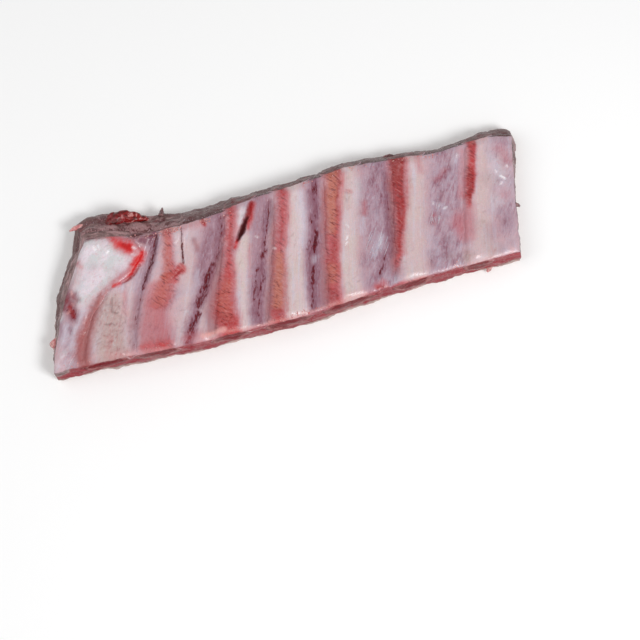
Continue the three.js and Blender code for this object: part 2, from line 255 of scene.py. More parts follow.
@dataclass(frozen=True)
class RackForm:
    """The rack's rims, bone side and leaning walls, as the solids have them."""

    front_seed: int = 11
    back_seed: int = 29
    left_seed: int = 41
    right_seed: int = 53
    end_length: float = 60.0
    front_rim: Stations = (
        (-127.2, -28.7, 14.5), (-95, -29.8, 16.6), (-64, -31.6, 17.2), (-24, -32.2, 17.4),
        (10, -31.4, 17.2), (38, -28.8, 16.8), (70, -27.6, 16.4), (109.5, -26.7, 15.6),
    )
    back_rim: Stations = (
        (-96.5, 31.6, 18.6), (-82, 29, 18.8), (-66, 26.6, 18.6), (-38, 27.2, 18.2), (-12, 31, 18),
        (18, 33.4, 17.8), (42, 35, 17.4), (84, 31.8, 16.6), (108, 33.2, 16.2), (121, 30.8, 15.4),
    )
    end_bow: float = 3.6
    bow_fade: tuple[float, float] = (0.15, 0.36)
    back_flare: Stations = (
        (-97, 12), (-80, 13.2), (-62, 9.8), (-38, 7.6), (0, 4.6), (60, 4), (121, 4.2),
    )
    left_flare: Stations = ((0, 0), (0.3, 3), (0.6, 5), (1, 5.6))
    front_flare: float = 1.6
    right_flare: float = 0.8
    right_corner_flare: float = 2.4
    corner_share: float = 0.72
    right_corner_share: float = 0.35
    back_swell: Stations = (
        (-100, 1.2), (-85, 1.5), (-60, 1), (-22, 0.9), (-8, 0.6), (5, 0.5), (24, 1), (30, 1.2),
        (36, 0.4), (50, 1.3), (60, 0.8), (98, 0.3), (104, 0.6), (108, 1.4), (112, 1.9), (117, 3.8),
        (119.5, 3.6), (121, 1.8),
    )
    left_swell: Stations = ((0, 0), (0.2, 0.1), (0.45, 0.5), (0.62, 1.5), (1, 1.2))
    right_swell: Stations = ((0, 0.2), (0.85, 0.3), (0.93, 1.1), (1, 1.6))
    front_swell: float = 0.3
    wall_profile: Stations = (
        (0, 0), (0.07, 0.2), (0.25, 0.55), (0.48, 0.9), (0.7, 1), (0.9, 0.86), (1, 0.6),
    )
    wall_ripple: float = 0.7
    trough: float = 2.2
    ridge: float = 1.5
    groove: float = 1.3
    groove_place: float = -1.8
    groove_width: float = 1.9
    roll: float = 1.1
    roll_width: float = 3.5
    ribs: tuple[RibLine, ...] = (
        RibLine(-112, -78, -5, 22, 12, 0.9),
        RibLine(-87, -61, -3.5, 22, 17, 0.97),
        RibLine(-47.5, -27.5, -0.5, 17, 14.5),
        RibLine(-21, -2.5, 1, 22, 18.5),
        RibLine(9.5, 24, 0.5, 23, 18),
        RibLine(45, 59, 0, 18, 16),
        RibLine(81.5, 97, -0.8, 13, 13),
    )
    rib_depth: float = 8.6
    rib_side: float = 2.6
    plate_edge: Stations = (
        (-78, 50), (-75, 27), (-70.5, 18), (-79, 9), (-92, 3.5), (-104, -8), (-113, -21), (-119, -27),
        (-124, -36),
    )
    plate_thick: float = 6.0
    fat_thick: float = 4.2
    fat_wave: float = 0.7
    coarse_columns: int = 48
    coarse_rows: int = 10
    rim_rag: float = 0.45
    wall_crag: float = 0.9
    plate_calm: float = 0.8
    seam_wander: float = 0.9
    calm_reach: float = 2.0
    fibre_lean: Stations = ((-110, 34), (-74, 26), (-37, 20), (17, 14.5), (52, 14), (115, 12))
    fibre_length: float = 62.0

    def span(self) -> float:
        """Length of the front rim."""
        return self.front_rim[-1][0] - self.front_rim[0][0]

    def rim(self, stations: Stations, s: Array, seed: int) -> tuple[Array, ...]:
        """Plan position and height of a rim, with the fine raggedness of its cut.

        Args:
            stations: The rim's own stations.
            s: Share of the way along the rack.
            seed: Seed of the raggedness.

        Returns:
            x, y and z at each share.
        """
        x = blend(stations[0][0], stations[-1][0], s)
        rag = fractal(x, 0.0 * x, 7.0, seed) + 0.5 * fractal(x, 0.0 * x, 1.6, seed + 3)
        return x, along(stations, x) + self.rim_rag * rag, along(stations, x, 2)

    def plan(self, s: Array, v: Array) -> tuple[Array, ...]:
        """Plan position, rim height and distance to the nearest rim, at shares s and v.

        Args:
            s: Share along the rack.
            v: Share across it.

        Returns:
            x, y, height of the rim between both sides, and distance.
        """
        front_x, front_y, front_z = self.rim(self.front_rim, s, self.front_seed)
        back_x, back_y, back_z = self.rim(self.back_rim, s, self.back_seed)
        low, high = self.bow_fade
        bulge = -self.end_bow * (1.0 - fade(low, high, s)) * 4.0 * v * (1.0 - v)
        reach = self.span() / 4.0
        walk = self.end_length * v
        left_rag = fractal(walk, 0.0 * v, 6.0, self.left_seed) * np.exp(-s * reach)
        right_rag = fractal(walk, 0.0 * v, 6.0, self.right_seed) * np.exp(-(1.0 - s) * reach)
        x = blend(front_x, back_x, v) + bulge + self.rim_rag * (left_rag + right_rag)
        across = back_y - front_y
        span = self.span()
        inward = np.minimum(np.minimum(v, 1.0 - v) * across, np.minimum(s, 1.0 - s) * span)
        return x, blend(front_y, back_y, v), blend(front_z, back_z, v), inward

    def locate(self, x: Array, y: Array) -> tuple[Array, Array]:
        """Shares s and v of a plan position, found by a few steps of correction.

        Args:
            x: Plan x.
            y: Plan y.

        Returns:
            s, held between 0 and 1, and v.
        """
        s = np.full(np.shape(x), 0.5)
        v = np.full(np.shape(x), 0.5)
        for _ in range(9):
            _, front_y, _ = self.rim(self.front_rim, s, self.front_seed)
            _, back_y, _ = self.rim(self.back_rim, s, self.back_seed)
            v = (y - front_y) / (back_y - front_y)
            here = self.plan(s, np.clip(v, 0.0, 1.0))[0]
            s = np.clip(s + (x - here) / self.span(), 0.0, 1.0)
        return s, v

    def band(self, rib: RibLine, y: Array) -> tuple[Array, ...]:
        """Share across the rack, left side and width of a rib at height y of the plan.

        Args:
            rib: The rib's course.
            y: Plan y.

        Returns:
            Share, plan x of the left side, and width.
        """
        low = along(self.front_rim, rib.front)
        high = along(self.back_rim, rib.back)
        v = (y - low) / (high - low)
        inside = np.clip(v, 0.0, 1.0)
        left = blend(rib.front, rib.back, v) + rib.bow * 4.0 * inside * (1.0 - inside)
        return v, left, blend(rib.front_width, rib.back_width, inside)

    def relief(self, x: Array, y: Array) -> Array:
        """Ridges over the ribs and the grooves along their left sides.

        Args:
            x: Plan x.
            y: Plan y.

        Returns:
            Heights in millimetres.
        """
        height = np.zeros(np.shape(x))
        for rib in self.ribs:
            _, left, width = self.band(rib, y)
            crown = np.clip(((x - left) / width + 0.05) / 1.15, 0.0, 1.0)
            height += self.ridge * np.sin(np.pi * crown**0.85) ** 2
            height -= self.groove * np.exp(-(((x - left - self.groove_place) / self.groove_width) ** 2))
        return height * (1.0 - self.plate_calm * fade(-1.5, 6.0, self.plate_depth(x, y)))

    def seam(self, x: Array, y: Array) -> Array:
        """How far the seams between bones and meat wander to one side."""
        return self.seam_wander * fractal(x, y, 5.0, 907)

    def settle(self, x: Array, y: Array, rim_z: Array, v: Array, inward: Array) -> Array:
        """Height of the bone side without its fine detail.

        Args:
            x: Plan x.
            y: Plan y.
            rim_z: Height of the rim.
            v: Share across the rack.
            inward: Distance to the nearest rim.

        Returns:
            Heights in millimetres.
        """
        edge = np.clip(1.0 - inward / self.roll_width, 0.0, 1.0)
        cross = np.clip(v, 0.0, 1.0)
        relief = self.relief(x, y) * (1.0 - 0.6 * edge)
        return rim_z + relief - self.trough * 4.0 * cross * (1.0 - cross) - self.roll * edge**2

    def surface(self, s: Array, v: Array) -> tuple[Array, ...]:
        """Plan position, height without fine detail and distance to the nearest rim, at shares."""
        x, y, rim_z, inward = self.plan(s, v)
        return x, y, self.settle(x, y, rim_z, v, inward), inward

    def bone_side(self, x: Array, y: Array) -> Array:
        """Height of the bone side at plan positions, without its fine detail.

        Args:
            x: Plan x.
            y: Plan y.

        Returns:
            Heights in millimetres.
        """
        s, v = self.locate(x, y)
        _, _, rim_z, inward = self.plan(s, np.clip(v, 0.0, 1.0))
        return self.settle(x, y, rim_z, v, inward)

    def ripple(self, a: Array, b: Array) -> Array:
        """Slow unevenness between -1 and 1.

        Args:
            a: One coordinate.
            b: The other.

        Returns:
            The value at each place.
        """
        slow = 0.5 * np.sin(a / 5.3 + b / 7.1 + 0.6)
        middling = 0.3 * np.sin(a / 2.9 - b / 3.7 + 2.1)
        return slow + middling + 0.2 * np.sin(a / 1.9 + b / 2.3 + 4.4)

    def coarse(self, count: int) -> Array:
        """Shares at which the solids have their rim points."""
        t = np.arange(count + 1) / count
        return t - 0.08 * np.sin(2.0 * np.pi * t)

    def lean(self, s: Array, v: Array) -> Array:
        """How far out the wall leans at points of the rim, as plan vectors.

        Args:
            s: Share along the rack.
            v: Share across it.

        Returns:
            One vector for each point.
        """
        lengthwise = self.coarse(self.coarse_columns)
        across = self.coarse(self.coarse_rows)
        back_x = blend(self.back_rim[0][0], self.back_rim[-1][0], lengthwise)
        back = np.stack([0.0 * lengthwise, along(self.back_flare, back_x)], axis=1)
        front = np.stack([0.0 * lengthwise, 0.0 * lengthwise - self.front_flare], axis=1)
        left = np.stack([-along(self.left_flare, across), 0.0 * across], axis=1)
        right = np.stack([self.right_flare + self.right_corner_flare * across**4, 0.0 * across], axis=1)
        left_corner = (left[-1] + back[0]) * self.corner_share
        right_corner = right[-1] * self.right_corner_share + back[-1]
        front_left = left[0] + front[0]
        front_right = right[0] + front[-1]
        back[0] = left_corner
        left[-1] = left_corner
        back[-1] = right_corner
        right[-1] = right_corner
        front[0] = front_left
        left[0] = front_left
        front[-1] = front_right
        right[0] = front_right
        out = np.zeros(np.shape(s) + (2,))
        tables = ((v >= 1.0, s, lengthwise, back), (v <= 0.0, s, lengthwise, front))
        tables += (((s <= 0.0) & (v > 0.0) & (v < 1.0), v, across, left),)
        tables += (((s >= 1.0) & (v > 0.0) & (v < 1.0), v, across, right),)
        for chosen, share, places, values in tables:
            for axis in (0, 1):
                out[chosen, axis] = np.interp(share[chosen], places, values[:, axis])
        return out

    def swell(self, s: Array, v: Array) -> Array:
        """Extra bulge of the walls that the photographed outline shows.

        Args:
            s: Share along the rack.
            v: Share across it.

        Returns:
            Bulges in millimetres.
        """
        x = blend(self.back_rim[0][0], self.back_rim[-1][0], s)
        found = np.full(np.shape(s), self.front_swell)
        found = np.where(v >= 1.0, along(self.back_swell, x), found)
        ends = (v > 0.0) & (v < 1.0)
        found = np.where(ends & (s <= 0.0), along(self.left_swell, v), found)
        return np.where(ends & (s >= 1.0), along(self.right_swell, v), found)

    def crag(self, a: Array, z: Array, down: Array, deep: Array) -> Array:
        """Uneven swell of a cut wall: lumps, folds that run along it and fine fibres.

        Args:
            a: Place along the wall.
            z: Height.
            down: Share of the height gone down.
            deep: Share of deep folds.

        Returns:
            Swells in millimetres.
        """
        lumps = 0.8 * fractal(a, 1.7 * z, 8.0, 71) + 0.45 * fractal(a, 2.2 * z, 2.6, 83)
        folds = np.sin(z * 1.15 + 2.2 * fractal(a, z, 14.0, 97) + 0.06 * a)
        swell = lumps + (0.25 + 0.75 * deep) * folds * 0.8
        return self.wall_crag * swell * fade(0.0, 0.16, down) * (1.0 - 0.55 * fade(0.8, 1.0, down))

    def wall(self, s: Array, v: Array, down: Array, proud: float = 0.0) -> Array:
        """Points of the walls.

        Args:
            s: Share along the rack of each rim point.
            v: Share across it.
            down: Share of the height gone down.
            proud: Extra distance outwards in millimetres.

        Returns:
            One plan position and height for each point.
        """
        x, y, top, _ = self.surface(s, v)
        out = self.lean(s, v)
        length = np.maximum(np.hypot(out[..., 0], out[..., 1]), 1e-6)
        share = along(self.wall_profile, down)
        wavy = 1.0 + self.wall_ripple * share * self.ripple(x, y + 30.0 * down) / (1.0 + length)
        z = top * (1.0 - down)
        deep = fade(-40.0, -75.0, x) * fade(0.0, 20.0, y)
        swell = self.crag(x + y, z, down, deep) + proud
        spread = (share * (wavy * length + self.swell(s, v)) + swell) / length
        return np.stack([x + out[..., 0] * spread, y + out[..., 1] * spread, z], axis=-1)

    def wall_y(self, side: Side, x: Array, z: Array, proud: float) -> Array:
        """Plan y of a long wall at given x and height.

        Args:
            side: The wall.
            x: Plan x.
            z: Height.
            proud: Extra distance outwards in millimetres.

        Returns:
            Plan y of each point.
        """
        rim = self.back_rim if side is Side.BACK else self.front_rim
        s = np.clip((x - rim[0][0]) / (rim[-1][0] - rim[0][0]), 0.02, 0.98)
        v = np.full(np.shape(x), side.value)
        down = np.clip(1.0 - z / self.surface(s, v)[2], 0.0, 1.0)
        return self.wall(s, v, down, proud)[..., 1]

    def plate_depth(self, x: Array, y: Array) -> Array:
        """Distance inside the inner edge of the cartilage plate, below 0 outside it.

        Args:
            x: Plan x.
            y: Plan y.

        Returns:
            Distances in millimetres.
        """
        best = np.full(np.shape(x), 1e9)
        sign = np.ones(np.shape(x))
        for start, finish in zip(self.plate_edge, self.plate_edge[1:]):
            _, gap = nearest(start, finish, x, y)
            turn = (finish[0] - start[0]) * (y - start[1]) - (finish[1] - start[1]) * (x - start[0])
            sign = np.where(gap < best, np.sign(-turn), sign)
            best = np.minimum(best, gap)
        return best * sign

    def under_plate(self, x: Array, y: Array) -> Array:
        """Share of a step that goes down where the cartilage plate covers what is under it."""
        return fade(-0.3, 3.0, self.plate_depth(x, y))

    def calm(self, inward: Array) -> Array:
        """Share of the fine height, which dies out at the rims."""
        return fade(0.0, self.calm_reach, inward)

    def fat_top(self, x: Array, y: Array) -> Array:
        """Height of the seam between the fat layer and the meat."""
        return self.fat_thick + self.fat_wave * self.ripple(x / 2.0, y / 2.0)

    def fibre_place(self, x: Array, y: Array) -> tuple[Array, Array]:
        """Distances across and along the ribs' own direction, for patterns that follow it.

        Args:
            x: Plan x.
            y: Plan y.

        Returns:
            Both distances in millimetres.
        """
        low = along(self.front_rim, x)
        high = along(self.back_rim, x)
        share = (y - low) / (high - low) - 0.5
        across = np.array(x, float)
        for _ in range(4):
            across = x - along(self.fibre_lean, across) * share
        return across, share * self.fibre_length


STROKE_EASE = 1.3
SWATHE_EASE = 1.6


@dataclass(frozen=True)
class Stroke:
    """A soft line of paint through plan points, each with its own width."""

    points: Stations
    strength: float = 1.0
    soft: float = 1.2

    def mask(self, x: Array, y: Array) -> Array:
        """Share of this paint at plan positions.

        Args:
            x: Plan x.
            y: Plan y.

        Returns:
            Shares from 0 to 1.
        """
        table = np.asarray(self.points, float)
        soft = self.soft * STROKE_EASE
        reach = table[:, 2].max() / 2.0 + soft
        low = table[:, :2].min(axis=0) - reach
        high = table[:, :2].max(axis=0) + reach
        near = (x > low[0]) & (x < high[0]) & (y > low[1]) & (y < high[1])
        px = x[near]
        py = y[near]
        best = np.zeros(px.shape)
        for start, finish in zip(table, table[1:]):
            t, gap = nearest(start, finish, px, py)
            half = blend(start[2], finish[2], t) / 2.0
            best = np.maximum(best, fade(0.5, -0.5, (gap - half) / soft))
        found = np.zeros(np.shape(x))
        found[near] = best * self.strength
        return found


@dataclass(frozen=True)
class Swathe:
    """A band of paint across the rack: rows of plan y, its left side and its right side."""

    rows: Stations
    strength: float = 1.0
    soft_left: float = 1.2
    soft_right: float = 1.2
    soft_end: float = 4.0

    def mask(self, x: Array, y: Array) -> Array:
        """Share of this paint at plan positions.

        Args:
            x: Plan x.
            y: Plan y.

        Returns:
            Shares from 0 to 1.
        """
        left = along(self.rows, y, 1)
        right = along(self.rows, y, 2)
        inside = fade(-0.5, 0.5, (x - left) / (self.soft_left * SWATHE_EASE))
        inside = inside * fade(0.5, -0.5, (x - right) / (self.soft_right * SWATHE_EASE))
        ends = fade(-0.5, 0.5, (y - self.rows[0][0]) / self.soft_end)
        ends = ends * fade(0.5, -0.5, (y - self.rows[-1][0]) / self.soft_end)
        return inside * ends * self.strength


RIM = 60.0


def lines(*rows: Sequence[float]) -> tuple[Stroke, ...]:
    """Strokes from flat rows: strength, softness, then x, y and width of every point."""
    return tuple(Stroke(tuple(zip(row[2::3], row[3::3], row[4::3])), *row[:2]) for row in rows)


def bands(*rows: Sequence[float]) -> tuple[Swathe, ...]:
    """Swathes from flat rows: strength, three softnesses, then y, left and right of every row."""
    return tuple(Swathe(tuple(zip(row[4::3], row[5::3], row[6::3])), *row[:4]) for row in rows)


PAINT: dict[str, tuple[Stroke | Swathe, ...]] = {
    "cream": bands(
        (0.55, 4, 3, 4, -RIM, -69, -61, -28, -66, -58, -15, -61, -54, -3, -57, -51, RIM, -56, -49),
        (0.5, 3, 4, 4, -RIM, -50, -45, 5, -53, -47.5, 15, -51, -45.5, 26, -49, -43, RIM, -40, -34),
        (1, 2.4, 3, 4, -RIM, -36, -29, -28, -34, -28, -15, -32, -25.5, -5, -29.5, -23, 5, -27, -20.5, 14,
         -23, -18.5),
        (1, 3, 3, 4, -RIM, -12, -1, -28, -10, 0, -15, -6.5, 2.6, -5, -4, 5, 5, -2, 7, 15, 1, 10, 28, 5,
         11.5, RIM, 10, 16),
        (0.95, 3, 4, 4, -RIM, 17, 29, -20, 19.6, 29, -10, 21.6, 30.5, 0, 24, 33.5, 10, 27.4, 36.5, 20, 30,
         38.5, RIM, 36, 44),
        (0.72, 2.4, 4.5, 4, -RIM, 49, 61, -20, 51.5, 63, -10, 54.4, 66, 0, 57.6, 68.5, 10, 61, 70.5, 20,
         64, 73, RIM, 69, 76),
        (0.65, 3, 6, 4, -RIM, 84, 97, -20, 87, 98, -10, 90.5, 99, 0, 93, 101.5, 10, 97.5, 104.5, 20, 100.5,
         107, RIM, 106, 113),
        (0.6, 5, 4, 5, -RIM, -107, -90, -28, -105, -89, -8, -100, -86, 3, -95, -85),
    ) + lines(
        (0.55, 2.6, -81, 4, 3, -82.5, -3, 3.4, -85, -10, 3), (0.35, 2, -70, 12.5, 2, -76, 3, 2.4),
    ),
    "tan": bands(
        (0.85, 5, 4, 5, -RIM, -106, -92, -24, -104, -90, -8, -100, -88, 2, -95, -87),
    ) + lines(
        (0.35, 4, -84, -12, 4, -87, -24, 5), (0.85, 4, 75, -21.5, 6, 83, -23.5, 6),
        (0.8, 1.8, 95.2, -7.6, 2.4, 96, -8, 2.4), (0.4, 4, 103, 13, 7, 105, 12, 6),
        (0.4, 6, 94, -10, 8, 96, -24, 8), (0.5, 3, -5, -8, 4, -7.5, -17, 4, -9.5, -27, 3.4),
        (0.3, 3, 65.5, 22, 4, 60, 6, 4, 55, -12, 4), (0.3, 3, 36, 30, 3, 32, 16, 3),
    ),
    "mauve": lines(
        (0.9, 4, -31, 30, 8, -35, 20, 10, -40, 10, 11, -45, 0, 10, -49, -8, 7, -52, -14, 6),
        (0.85, 3.6, -52, -14, 6, -57, -24, 7, -60, -31, 7),
        (0.85, 4, -8, 31, 10, -11, 20, 9.5, -14.5, 10, 8, -17, 0, 8, -20, -8, 8),
        (0.85, 3.6, -20, -8, 8, -22, -16, 8, -24.5, -29, 9),
        (0.9, 3.6, 20, 33, 7, 17.5, 24, 8, 15.5, 15, 8.5, 13, 5, 10, 11, -3, 11),
        (0.9, 3.6, 11, -3, 11, 9, -10, 11, 7.5, -18, 10, 6, -31, 9),
        (0.8, 4, 55, 31, 7, 53, 20, 7, 51.5, 8, 7, 49, -3, 7, 47, -12, 6, 45, -21, 6),
        (0.4, 6, 48, 31, 12, 45, 15, 15, 41, 0, 15, 38, -14, 15, 36, -26, 10),
        (0.38, 8, 86, 29, 13, 82, 14, 16, 78, 2, 16, 73, -12, 15, 70, -24, 12),
        (0.8, 3, -65, 21, 6, -70, 12, 6, -74, 5, 5, -79, -5, 4.4),
        (0.6, 3, -79, -5, 4.4, -83, -15, 4.4, -86, -26, 4.4),
        (0.42, 6, -113, 0, 8, -115, -10, 9, -117, -20, 8), (0.7, 2, -119, -6, 2.4, -118.8, -12, 2.4),
        (0.4, 6, 107, -9, 10, 100, -14, 8), (0.35, 5, 115, 20, 6, 115, 28, 7),
    ),
    "dusky": bands(
        (0.55, 4, 5, 4, -RIM, -85, -69, -20, -81, -68, -4, -75, -65),
        (0.9, 2.5, 2, 6, -30, -50, -42, -18, -49, -42, -8, -45, -38.5, 2, -40, -34.5, 10, -36.6, -31.6),
        (0.9, 2, 2, 5, -32, -21.5, -14.5, -20, -19, -13, -8, -14.8, -10, 2, -11.6, -7.4, 12, -8.4, -5, 26,
         -3.4, -1),
        (0.85, 2.4, 2, 5, -30, 6.5, 13.5, -18, 9.6, 16, -8, 12.3, 18, 4, 15.4, 20, 16, 18.6, 23, 28, 22,
         26),
        (0.75, 2.4, 2, 5, -22, 44.5, 49.5, -12, 46.5, 51.5, 0, 49.5, 54, 12, 52, 56, 26, 54, 59),
    ) + lines(
        (0.5, 3, -80, -3, 3, -84, -16, 4), (0.8, 1.8, -45.4, 18, 2.6, -44.8, 13, 2.6),
        (0.7, 3, -66, 26, 5, -71, 23, 5, -75, 26, 3), (0.8, 4, -112, 9, 6, -112, 1, 8, -111, -6, 5),
    ),
    "purple": lines(
        (0.8, 3, -30, 26, 3, -32, 18, 3.4, -35, 11, 3.6, -37.5, 6, 3),
        (0.75, 3, -113.6, 8, 5, -112.4, 2, 7, -111, -5, 4), (0.6, 2, -108.4, 6.6, 3.4, -107.6, 3.2, 3),
        (0.7, 2, -108.6, 6.4, 2.4, -107.4, 3.4, 2), (0.8, 2, -111.8, 2, 3, -111, -3, 2.4),
        (0.7, 2, -115, -9, 2, -114.4, -12, 2), (0.4, 4, -36, 20, 4, -42, 8, 5, -46, 1, 4),
        (0.85, 2.6, -40, 4, 4, -43.5, -2, 5, -47, -8, 5, -50.5, -14, 4),
        (0.85, 2.6, -52.5, -18, 3.5, -56, -24, 4, -60, -31, 4),
        (0.75, 3, -5, 28, 2.5, -9, 17, 3, -12.5, 8, 3.5, -15.5, 0, 4, -18, -7, 5),
        (0.75, 3, -18, -7, 5, -20.5, -14, 5.5, -22.5, -20, 5, -24.5, -29, 4.5),
        (0.85, 2.6, 20, 33, 4, 17.5, 26, 4.5, 16.5, 19, 4, 14.5, 13, 4, 13, 7, 4.5),
        (0.85, 2.6, 13, 7, 4.5, 11.5, 1, 5, 9.5, -4, 5, 8, -11, 5, 6, -19, 4.5, 4, -30, 3.5),
        (0.6, 3, 54.5, 28, 3, 52.5, 16, 3.5, 51, 5, 4, 49, -4, 4, 47.5, -12, 3.5),
        (0.6, 3, 52, 32, 3, 47, 25, 4), (0.5, 2.6, 41.5, 16, 3, 40, 10.5, 3),
        (0.5, 3, 50, 19, 2.5, 46.5, 10, 2.5), (0.7, 2.6, 44.5, -11, 3, 41.5, -17, 3.4, 38.5, -22, 3),
        (0.4, 2.6, 34, -9, 2.5, 32, -14, 2.5), (0.65, 3, 86, 22, 3, 78.5, 18, 3.5),
        (0.55, 2.6, 73, 1, 3, 71.5, -2, 3), (0.5, 3, 67, -17, 3, 65.5, -22, 3),
        (0.45, 4, 76, -12, 4, 73, -20, 4), (0.35, 3, 80, 12, 3, 77, 8, 3),
        (1, 2, -63.5, 26, 4, -67, 22.6, 3, -71, 24.6, 2.6), (1, 1.6, -69, 26.4, 2, -74, 27, 2),
        (0.6, 2.4, -64, 22, 4, -69, 12, 3.6, -75, 2, 2.6), (0.4, 3, 106.6, -9.6, 3, 106, -11, 3),
    ),
    "streak": lines(
        (0.78, 2.4, -62.6, 25, 2.6, -66, 17.5, 3.2, -69, 11.5, 2.8, -72.5, 6, 2.4, -76, 0, 1.8),
        (0.95, 2, -115, 6, 3, -112.8, 2, 5, -111.4, -3.6, 3.4),
        (1, 0.9, -49.9, 25.5, 0.9, -51.4, 17.5, 1, -53.2, 8.4, 1.1),
        (0.9, 1.4, -75.6, 27.4, 2, -70, 26.6, 2, -65, 26, 2),
        (0.5, 2.4, -76, 0, 1.6, -79.5, -6, 1.6, -83, -15, 1.8, -86, -25, 2),
        (0.8, 1.6, -29.5, 26, 1.2, -31.5, 19, 1.3, -34.5, 12, 1.5, -36.8, 7, 1.2),
        (0.9, 2.2, -39.2, 4.6, 3, -42, 0.6, 4, -44.8, -4, 4.2, -47.4, -8, 4.6, -51, -14.4, 3.2),
        (0.85, 2.2, -52, -18, 3, -55.5, -23.5, 3.6, -60, -30.5, 3.6),
        (0.85, 1.6, -4.4, 28.5, 1, -7.4, 20, 1.2, -10.6, 11.5, 1.6, -13.4, 4, 1.8, -15.6, -1, 1.4),
        (0.75, 1.6, -15.4, -4, 1.2, -17.2, -9, 1.8, -19.2, -14, 1.6),
        (0.8, 1.8, -17.6, 0, 1.2, -20, -6, 2, -22, -13, 2.2, -23.6, -18, 1.6),
        (0.75, 1.6, -20.4, -17, 1.4, -22.6, -23, 1.8, -24, -28, 1.2),
        (0.5, 1.6, -24.4, -20, 1, -26, -27, 1.2),
        (0.85, 1.6, 20.4, 32.5, 1.6, 18.8, 28, 2.2, 17.4, 23.5, 1.4),
        (0.7, 1.8, 15.6, 16, 1.4, 13.2, 13, 1.8), (1, 1.6, 14.4, 8, 1.8, 12.8, 2.5, 3.2, 10.8, -1.4, 2.2),
        (0.6, 2, 10.6, 5, 1.6, 8.4, -0.5, 1.6),
        (0.95, 1.6, 8.6, -9, 1.4, 6.8, -15, 2.4, 5.2, -21, 1.8, 3, -29.5, 1.4),
        (0.5, 1.6, 6.2, -12, 1, 5, -17, 1), (0.5, 2, 51, 30.5, 1.4, 47.6, 26.4, 1.2),
        (0.5, 2, 50.6, 18, 1, 48.4, 12, 1.2),
        (0.75, 1.8, 44, -12.5, 1.4, 41, -18.5, 1.8, 38.8, -21.6, 1.2),
        (0.4, 2.4, 53.4, 20, 1, 52, 10, 1.2, 50.4, 0, 1, 48.6, -9, 1),
        (0.55, 2.2, 85, 21.6, 1.6, 80, 18.6, 1.8), (0.5, 2, 67, -17, 1, 65.6, -21, 1.2),
    ),
    "rose": bands(
        (0.75, 3.4, 5, 4, -RIM, -86, -67, -20, -82, -66, -12, -79, -66, -4, -76, -63, 3, -72, -61),
    ) + lines(
        (0.75, 1.6, -122, -30.8, 1.6, -60, -32.4, 2, 0, -32.4, 2, 30, -31, 2, 60, -29.6, 2, 106, -28, 2),
        (0.45, 4, -48, 25.8, 4, -40, 25.4, 4), (0.75, 5, 90, 0, 6, 86, -6, 11, 86, -12, 8),
        (0.5, 2.2, 41.4, 16, 2.2, 39.8, 10.4, 2.2), (0.5, 2.2, 73, 1, 2.4, 71.6, -2, 2.2),
        (0.35, 3, 84, 21.5, 3, 78.5, 18.5, 2.6),
        (0.65, 3, -21.8, 29, 2.5, -24, 20, 2.5, -27.5, 10, 2.5, -29.5, 3, 2.5),
        (0.7, 3, -29.5, 3, 2.5, -31, -6, 3, -33, -14, 3, -33.5, -28, 3),
        (0.85, 3, 5, 30, 3, 2.8, 20, 3, 0, 12, 3, -2.2, 5, 3),
        (0.45, 3, -4, -3, 2, -8, -20, 2, -10, -29, 2),
        (0.75, 3, 34, 32, 3, 31, 23, 3, 27.6, 13, 2.6, 25, 5, 2.6),
        (0.8, 3, 25, 5, 2.6, 22.4, -4, 3, 20.6, -12, 3, 18.4, -22, 3, 17.6, -31, 3),
        (0.65, 2.6, 67, 32, 2.5, 63.5, 18, 2.5, 60, 8, 2, 57, 0, 2, 53, -14, 3),
        (0.6, 3, 95, 29, 3, 92, 17, 3, 89.5, 8, 3), (0.5, 3, 72, 33, 4, 72.5, 25, 3),
        (0.4, 4, 113.5, 26, 5, 115.5, 19, 4), (0.35, 4, 109, 5, 5, 110, 3, 5),
        (0.5, 1.6, -19, 9, 1, -21.5, 1, 1.2, -23.4, -6, 1), (0.45, 2.4, -85, 1, 2.2, -86, -9, 2),
        (0.75, 2, -76.5, 14.5, 2.6, -80, 11.4, 2.4, -84, 8.6, 2.4, -90, 7.4, 2),
        (0.6, 3, -84, 27, 3, -82.6, 22, 3, -78, 19, 2.6), (0.8, 2.4, 40, -26, 3, 36, -26.4, 3),
        (0.4, 3, -97, -20, 3, -99, -27, 3), (0.3, 3, -103, 18, 4, -107, 12, 4),
        (0.45, 4, -98, -28.6, 4, -78, -30, 5), (0.5, 4, -60, -29, 5, -52, -29, 5),
        (0.35, 4, 20, -29, 4, 34, -28, 4),
    ),
    "red": bands(
        (0.85, 2.6, 2.4, 3, -1, -65, -57.5, 3, -65.5, -56.5, 8, -63, -57, 12, -62.4, -57, 18, -61, -55.8,
         26, -59.6, -54.8, RIM, -56, -51),
        (0.7, 4, 4, 5, -11, -73, -65, -7, -73, -62, -2, -71, -60, 3, -67.5, -58.5),
        (0.97, 4.2, 2.8, 4, -RIM, -46, -33, -28, -44.5, -33.4, -20, -45, -34, -12, -42.5, -32.8, -4, -38,
         -30.6, 4, -34, -29, 12, -31.6, -27, 20, -29, -24.5, 26, -27, -22.6, RIM, -22, -17),
        (0.9, 4, 2.6, 4, -RIM, -19, -11, -28, -17.8, -10.6, -20, -15.8, -8.6, -12, -13.2, -6.6, -3, -10.6,
         -4.2, 5, -7.8, -2.4, 12, -5.6, -0.5, 20, -3, 2.4, 29, -0.6, 4.4, RIM, 5, 10),
        (0.9, 4, 2.2, 4, -RIM, 9.6, 16.6, -25, 11.4, 17.6, -18, 12.8, 19.4, -10, 14.4, 21.4, -3, 16.2, 23,
         5, 18.4, 25, 12, 20, 27.6, 20, 21.6, 29.2, 32, 24.6, 33.2, RIM, 28, 37),
        (0.97, 3.4, 2.2, 8, -21, 47, 48.6, -15, 48.8, 51.8, -8, 50.2, 54.4, 0, 52.2, 57.4, 8, 54, 60.4, 15,
         55, 62, 20, 55.4, 63, 32, 57.4, 66.4, RIM, 60, 70),
